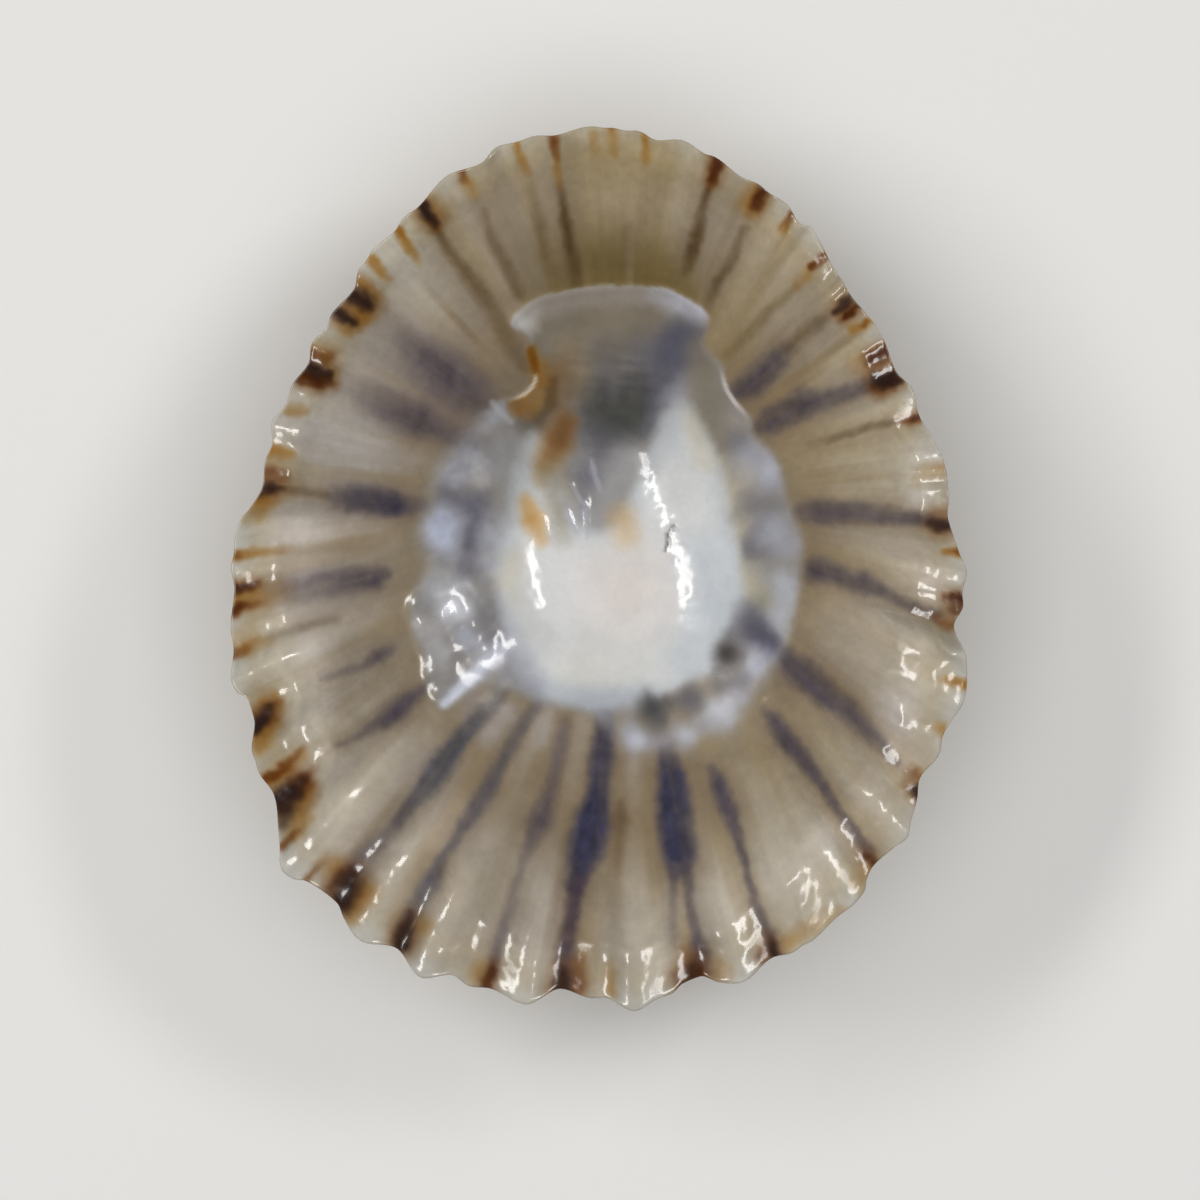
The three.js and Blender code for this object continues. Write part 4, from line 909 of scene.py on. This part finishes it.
def belt(a0, n, b0, m):
    """Triangles joining ring a (n points, inner side) to ring b (m points) further out."""
    faces, i, j = [], 0, 0
    while i < n or j < m:
        if j == m or (i < n and (i + 1) * m <= (j + 1) * n):
            faces.append((a0 + i % n, b0 + j % m, a0 + (i + 1) % n))
            i += 1
        else:
            faces.append((a0 + i % n, b0 + j % m, b0 + (j + 1) % m))
            j += 1
    return np.array(faces)


LIP_IN = 0.994
deg_i, t_i, faces_i, last_i = disc(RINGS_IN, 0.12, LIP_IN)
deg_o, t_o, faces_o, last_o = disc(RINGS_OUT, 0.05, LIP_IN)
x_i, y_i, z_i, about_i, rib_i, px_i, py_i = inner(deg_i, t_i)
x_o, y_o, z_o, about_o, rib_o = outer(deg_o, t_o)

# the rounded edge of the lip, between the last ring inside and the last outside
n_in, n_out = 6 * RINGS_IN, 6 * RINGS_OUT
lip_deg = 360 * np.arange(n_in) / n_in
top = inner(lip_deg, np.full(n_in, LIP_IN))
under = outer(lip_deg, np.full(n_in, LIP_IN))
lip_rings = []
for t_here, share in ((0.9982, 0.82), (1.0, 0.5)):
    lx, ly, labout, lrib = plan(lip_deg, np.full(n_in, t_here))
    rise = (skin(t_here) - skin(LIP_IN)) * 0.9
    lip_rings.append((lx, ly, under[2] + (top[2] - under[2]) * share + rise, labout, np.full(n_in, t_here), lrib))
out_deg = 360 * np.arange(n_out) / n_out
lx, ly, labout, lrib = plan(out_deg, np.full(n_out, 0.9982))
top_o = inner(out_deg, np.full(n_out, LIP_IN))
under_o = outer(out_deg, np.full(n_out, LIP_IN))
rise = (skin(0.9982) - skin(LIP_IN)) * 0.9
lip_rings.append((lx, ly, under_o[2] + (top_o[2] - under_o[2]) * 0.18 + rise, labout, np.full(n_out, 0.9982), lrib))

count_i, count_o = len(x_i), len(x_o)
o_start = count_i
l1, l2, l3 = count_i + count_o, count_i + count_o + n_in, count_i + count_o + 2 * n_in
faces = np.concatenate([
    faces_i,
    faces_o[:, ::-1] + o_start,
    belt(last_i, n_in, l1, n_in),
    belt(l1, n_in, l2, n_in),
    belt(l2, n_in, l3, n_out),
    belt(l3, n_out, o_start + last_o, n_out),
])
X = np.concatenate([x_i, x_o] + [r[0] for r in lip_rings])
Y = np.concatenate([y_i, y_o] + [r[1] for r in lip_rings])
Z = np.concatenate([z_i, z_o] + [r[2] for r in lip_rings])
ABOUT = np.concatenate([about_i, about_o] + [r[3] for r in lip_rings])
T = np.concatenate([t_i, t_o] + [r[4] for r in lip_rings])
RIB = np.concatenate([rib_i, rib_o] + [r[5] for r in lip_rings])
OUTSIDE = np.zeros(len(X))
OUTSIDE[o_start:o_start + count_o] = 1
OUTSIDE[l1:l2] = 0.3
OUTSIDE[l2:l3] = 0.5
OUTSIDE[l3:] = 0.8

PX, PY = on_sheet(X, Y, Z)
inside_colour, scar_mask, callus_mask = paint_inside(PX, PY, ABOUT, T, RIB)
outside_colour = paint_outside(X, Y, ABOUT, T, RIB)
over = OUTSIDE.copy()
over[l1:l2], over[l2:l3], over[l3:] = 0.05, 0.25, 0.7
colour = inside_colour + (outside_colour - inside_colour) * over[:, None]

DULL = OUTSIDE.copy()
for soft, points in SATIN:
    DULL = np.maximum(DULL, brush(PX, PY, points, soft) * (1 - OUTSIDE))

LIGHT = 0.92  # share of full white that a white surface shows in this light


def to_linear(c):
    c = np.clip(c / 255, 0, 1)
    return np.where(c <= 0.04045, c / 12.92, ((c + 0.055) / 1.055) ** 2.4)


albedo = np.clip(to_linear(colour) / LIGHT, 0.004, 0.86)

mesh = bpy.data.meshes.new("limpet_shell")
mesh.vertices.add(len(X))
mesh.vertices.foreach_set("co", (np.stack([X, Y, Z], 1) / 1000).astype(np.float32).ravel())
mesh.loops.add(len(faces) * 3)
mesh.loops.foreach_set("vertex_index", faces.astype(np.int32).ravel())
mesh.polygons.add(len(faces))
mesh.polygons.foreach_set("loop_start", np.arange(0, len(faces) * 3, 3, dtype=np.int32))
mesh.polygons.foreach_set("use_smooth", np.ones(len(faces), bool))
mesh.update(calc_edges=True)
mesh.validate()

paint = mesh.attributes.new("paint", "FLOAT_COLOR", "POINT")
paint.data.foreach_set("color", np.concatenate([albedo, np.ones((len(X), 1))], 1).astype(np.float32).ravel())
rayco = mesh.attributes.new("ray_place", "FLOAT_VECTOR", "POINT")
a = np.radians(ABOUT)
rayco.data.foreach_set("vector", np.stack([np.cos(a), np.sin(a), T], 1).astype(np.float32).ravel())
for name, values in (("outside", OUTSIDE), ("dull", DULL), ("callus", callus_mask * (1 - OUTSIDE)), ("scar", scar_mask * (1 - OUTSIDE))):
    layer = mesh.attributes.new(name, "FLOAT", "POINT")
    layer.data.foreach_set("value", np.asarray(values, np.float32))

# a flat map for each side, beside each other
uv = mesh.uv_layers.new(name="OFBake")
scale = 0.48 / (X.max() - X.min())
u = 0.01 + (X - X.min()) * scale
v = 0.01 + (Y - Y.min()) * scale
face_out = np.zeros(len(faces), bool)
face_out[len(faces_i):len(faces_i) + len(faces_o)] = True
face_out[-(2 * n_out + n_in + n_out):] = True
corner = faces.ravel()
shift = np.repeat(face_out, 3) * 0.5
uv.data.foreach_set("uv", np.stack([u[corner] + shift, v[corner]], 1).astype(np.float32).ravel())

shell = bpy.data.objects.new("limpet_shell", mesh)
bpy.context.scene.collection.objects.link(shell)


# ---- the material ------------------------------------------------------------
def build_material():
    mat = bpy.data.materials.new("shell_nacre_and_horn")
    mat.use_nodes = True
    nt = mat.node_tree
    nt.nodes.clear()
    link = nt.links.new

    def node(kind, **settings):
        n = nt.nodes.new(kind)
        for k, val in settings.items():
            setattr(n, k, val)
        return n

    out = node("ShaderNodeOutputMaterial")
    bsdf = node("ShaderNodeBsdfPrincipled")
    link(bsdf.outputs["BSDF"], out.inputs["Surface"])
    paint_in = node("ShaderNodeAttribute", attribute_name="paint")
    place = node("ShaderNodeAttribute", attribute_name="ray_place")
    outside = node("ShaderNodeAttribute", attribute_name="outside")
    dullness = node("ShaderNodeAttribute", attribute_name="dull")
    object_place = node("ShaderNodeTexCoord")

    # hair-fine lines along the rays and a slight mottle
    stretch = node("ShaderNodeVectorMath", operation="MULTIPLY")
    stretch.inputs[1].default_value = (95, 95, 9)
    link(place.outputs["Vector"], stretch.inputs[0])
    lines = node("ShaderNodeTexNoise")
    lines.inputs["Scale"].default_value = 1.0
    lines.inputs["Detail"].default_value = 3.0
    link(stretch.outputs["Vector"], lines.inputs["Vector"])
    mottle = node("ShaderNodeTexNoise")
    mottle.inputs["Scale"].default_value = 900.0
    mottle.inputs["Detail"].default_value = 4.0
    link(object_place.outputs["Object"], mottle.inputs["Vector"])

    # the lines fade out towards the middle of the cup
    split = node("ShaderNodeSeparateXYZ")
    link(place.outputs["Vector"], split.inputs[0])
    fade = node("ShaderNodeMapRange", interpolation_type="SMOOTHSTEP")
    fade.inputs["From Min"].default_value = 0.42
    fade.inputs["From Max"].default_value = 0.8
    link(split.outputs["Z"], fade.inputs["Value"])
    centred = node("ShaderNodeMath", operation="SUBTRACT")
    link(lines.outputs["Fac"], centred.inputs[0])
    centred.inputs[1].default_value = 0.5
    faded = node("ShaderNodeMath", operation="MULTIPLY")
    link(centred.outputs["Value"], faded.inputs[0])
    link(fade.outputs["Result"], faded.inputs[1])
    line_shade = node("ShaderNodeMapRange")
    line_shade.inputs["From Min"].default_value = -0.25
    line_shade.inputs["From Max"].default_value = 0.25
    line_shade.inputs["To Min"].default_value = 0.97
    line_shade.inputs["To Max"].default_value = 1.03
    link(faded.outputs["Value"], line_shade.inputs["Value"])
    mottle_shade = node("ShaderNodeMapRange")
    mottle_shade.inputs["From Min"].default_value = 0.3
    mottle_shade.inputs["From Max"].default_value = 0.7
    mottle_shade.inputs["To Min"].default_value = 0.965
    mottle_shade.inputs["To Max"].default_value = 1.035
    link(mottle.outputs["Fac"], mottle_shade.inputs["Value"])
    shade = node("ShaderNodeMath", operation="MULTIPLY")
    link(line_shade.outputs["Result"], shade.inputs[0])
    link(mottle_shade.outputs["Result"], shade.inputs[1])
    tint = node("ShaderNodeVectorMath", operation="SCALE")
    link(paint_in.outputs["Color"], tint.inputs[0])
    link(shade.outputs["Value"], tint.inputs["Scale"])
    link(tint.outputs["Vector"], bsdf.inputs["Base Color"])

    # glossy inside, dull outside; the gloss is a little uneven
    dull = node("ShaderNodeMapRange")
    dull.inputs["To Min"].default_value = 0.26
    dull.inputs["To Max"].default_value = 0.62
    link(dullness.outputs["Fac"], dull.inputs["Value"])
    uneven = node("ShaderNodeMapRange")
    uneven.inputs["From Min"].default_value = 0.3
    uneven.inputs["From Max"].default_value = 0.7
    uneven.inputs["To Min"].default_value = -0.05
    uneven.inputs["To Max"].default_value = 0.07
    link(mottle.outputs["Fac"], uneven.inputs["Value"])
    rough = node("ShaderNodeMath", operation="ADD")
    link(dull.outputs["Result"], rough.inputs[0])
    link(uneven.outputs["Result"], rough.inputs[1])
    link(rough.outputs["Value"], bsdf.inputs["Roughness"])
    coat = node("ShaderNodeMapRange")
    coat.inputs["To Min"].default_value = 0.9
    coat.inputs["To Max"].default_value = 0.0
    link(dullness.outputs["Fac"], coat.inputs["Value"])
    link(coat.outputs["Result"], bsdf.inputs["Coat Weight"])
    bsdf.inputs["Coat Roughness"].default_value = 0.12
    bsdf.inputs["Coat IOR"].default_value = 1.5
    bsdf.inputs["IOR"].default_value = 1.53
    bsdf.inputs["Specular IOR Level"].default_value = 0.35

    # fine relief
    line_bump = node("ShaderNodeBump")
    line_bump.inputs["Strength"].default_value = 0.18
    line_bump.inputs["Distance"].default_value = 0.00003
    link(faded.outputs["Value"], line_bump.inputs["Height"])
    grain = node("ShaderNodeTexNoise")
    grain.inputs["Scale"].default_value = 2600.0
    grain.inputs["Detail"].default_value = 3.0
    link(object_place.outputs["Object"], grain.inputs["Vector"])
    grain_depth = node("ShaderNodeMapRange")
    grain_depth.inputs["To Min"].default_value = 0.12
    grain_depth.inputs["To Max"].default_value = 0.5
    link(outside.outputs["Fac"], grain_depth.inputs["Value"])
    grain_bump = node("ShaderNodeBump")
    grain_bump.inputs["Distance"].default_value = 0.00004
    link(grain_depth.outputs["Result"], grain_bump.inputs["Strength"])
    link(grain.outputs["Fac"], grain_bump.inputs["Height"])
    link(line_bump.outputs["Normal"], grain_bump.inputs["Normal"])
    link(grain_bump.outputs["Normal"], bsdf.inputs["Normal"])
    return mat


mesh.materials.append(build_material())
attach(shell, "root")
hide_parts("shell")

# ---- floor, light and camera -------------------------------------------------
floor_mesh = bpy.data.meshes.new("floor")
floor_mesh.from_pydata([(-1.5, -1.5, 0), (1.5, -1.5, 0), (1.5, 1.5, 0), (-1.5, 1.5, 0)], [], [(0, 1, 2, 3)])
floor = bpy.data.objects.new("floor", floor_mesh)
bpy.context.scene.collection.objects.link(floor)
floor_mat = bpy.data.materials.new("pale_floor")
floor_mat.use_nodes = True
floor_bsdf = floor_mat.node_tree.nodes["Principled BSDF"]
floor_bsdf.inputs["Base Color"].default_value = (0.84, 0.835, 0.82, 1)
floor_bsdf.inputs["Roughness"].default_value = 0.85
floor_bsdf.inputs["Specular IOR Level"].default_value = 0.2
floor_mesh.materials.append(floor_mat)


def lamp(name, azimuth, elevation, distance, wide, high, power, colour=(1, 1, 1)):
    data = bpy.data.lights.new(name, "AREA")
    data.shape = "RECTANGLE"
    data.size, data.size_y = wide, high
    data.energy = power
    data.color = colour
    obj = bpy.data.objects.new(name, data)
    az, el = math.radians(azimuth), math.radians(elevation)
    way = Vector((math.cos(az) * math.cos(el), math.sin(az) * math.cos(el), math.sin(el)))
    obj.location = way * distance + Vector((0, 0, 0.005))
    obj.rotation_mode = "QUATERNION"
    obj.rotation_quaternion = way.to_track_quat("Z", "Y")
    obj.visible_camera = False
    bpy.context.scene.collection.objects.link(obj)
    return obj


lamp("lamp_left", 160, 46, 0.42, 0.24, 0.075, 0.56, (1, 0.985, 0.96))
lamp("lamp_right", 30, 46, 0.42, 0.125, 0.07, 0.33, (1, 0.985, 0.96))
overhead = lamp("softbox_top", 270, 84, 0.7, 0.7, 0.6, 2.7, (1, 1, 1))
overhead.visible_glossy = False

world = bpy.data.worlds.new("studio")
world.use_nodes = True
world.node_tree.nodes["Background"].inputs["Color"].default_value = (0.95, 0.97, 1.0, 1)
world.node_tree.nodes["Background"].inputs["Strength"].default_value = 0.14
scene = bpy.context.scene
scene.world = world
world.cycles_visibility.glossy = False
scene.view_settings.view_transform = "Standard"
scene.view_settings.look = "None"
scene.view_settings.exposure = 0
scene.view_settings.gamma = 1

cam_data = bpy.data.cameras.new("camera")
cam_data.sensor_width = 36
cam_data.lens = 36 * CAMERA_UP / (1200 * SHEET_MM)
cam_data.clip_start, cam_data.clip_end = 0.01, 20
cam = bpy.data.objects.new("camera", cam_data)
cam.location = (AIM[0] / 1000, AIM[1] / 1000, (CAMERA_UP + RIM_HEIGHT) / 1000)
cam.rotation_euler = (0, 0, 0)
scene.collection.objects.link(cam)
scene.camera = cam
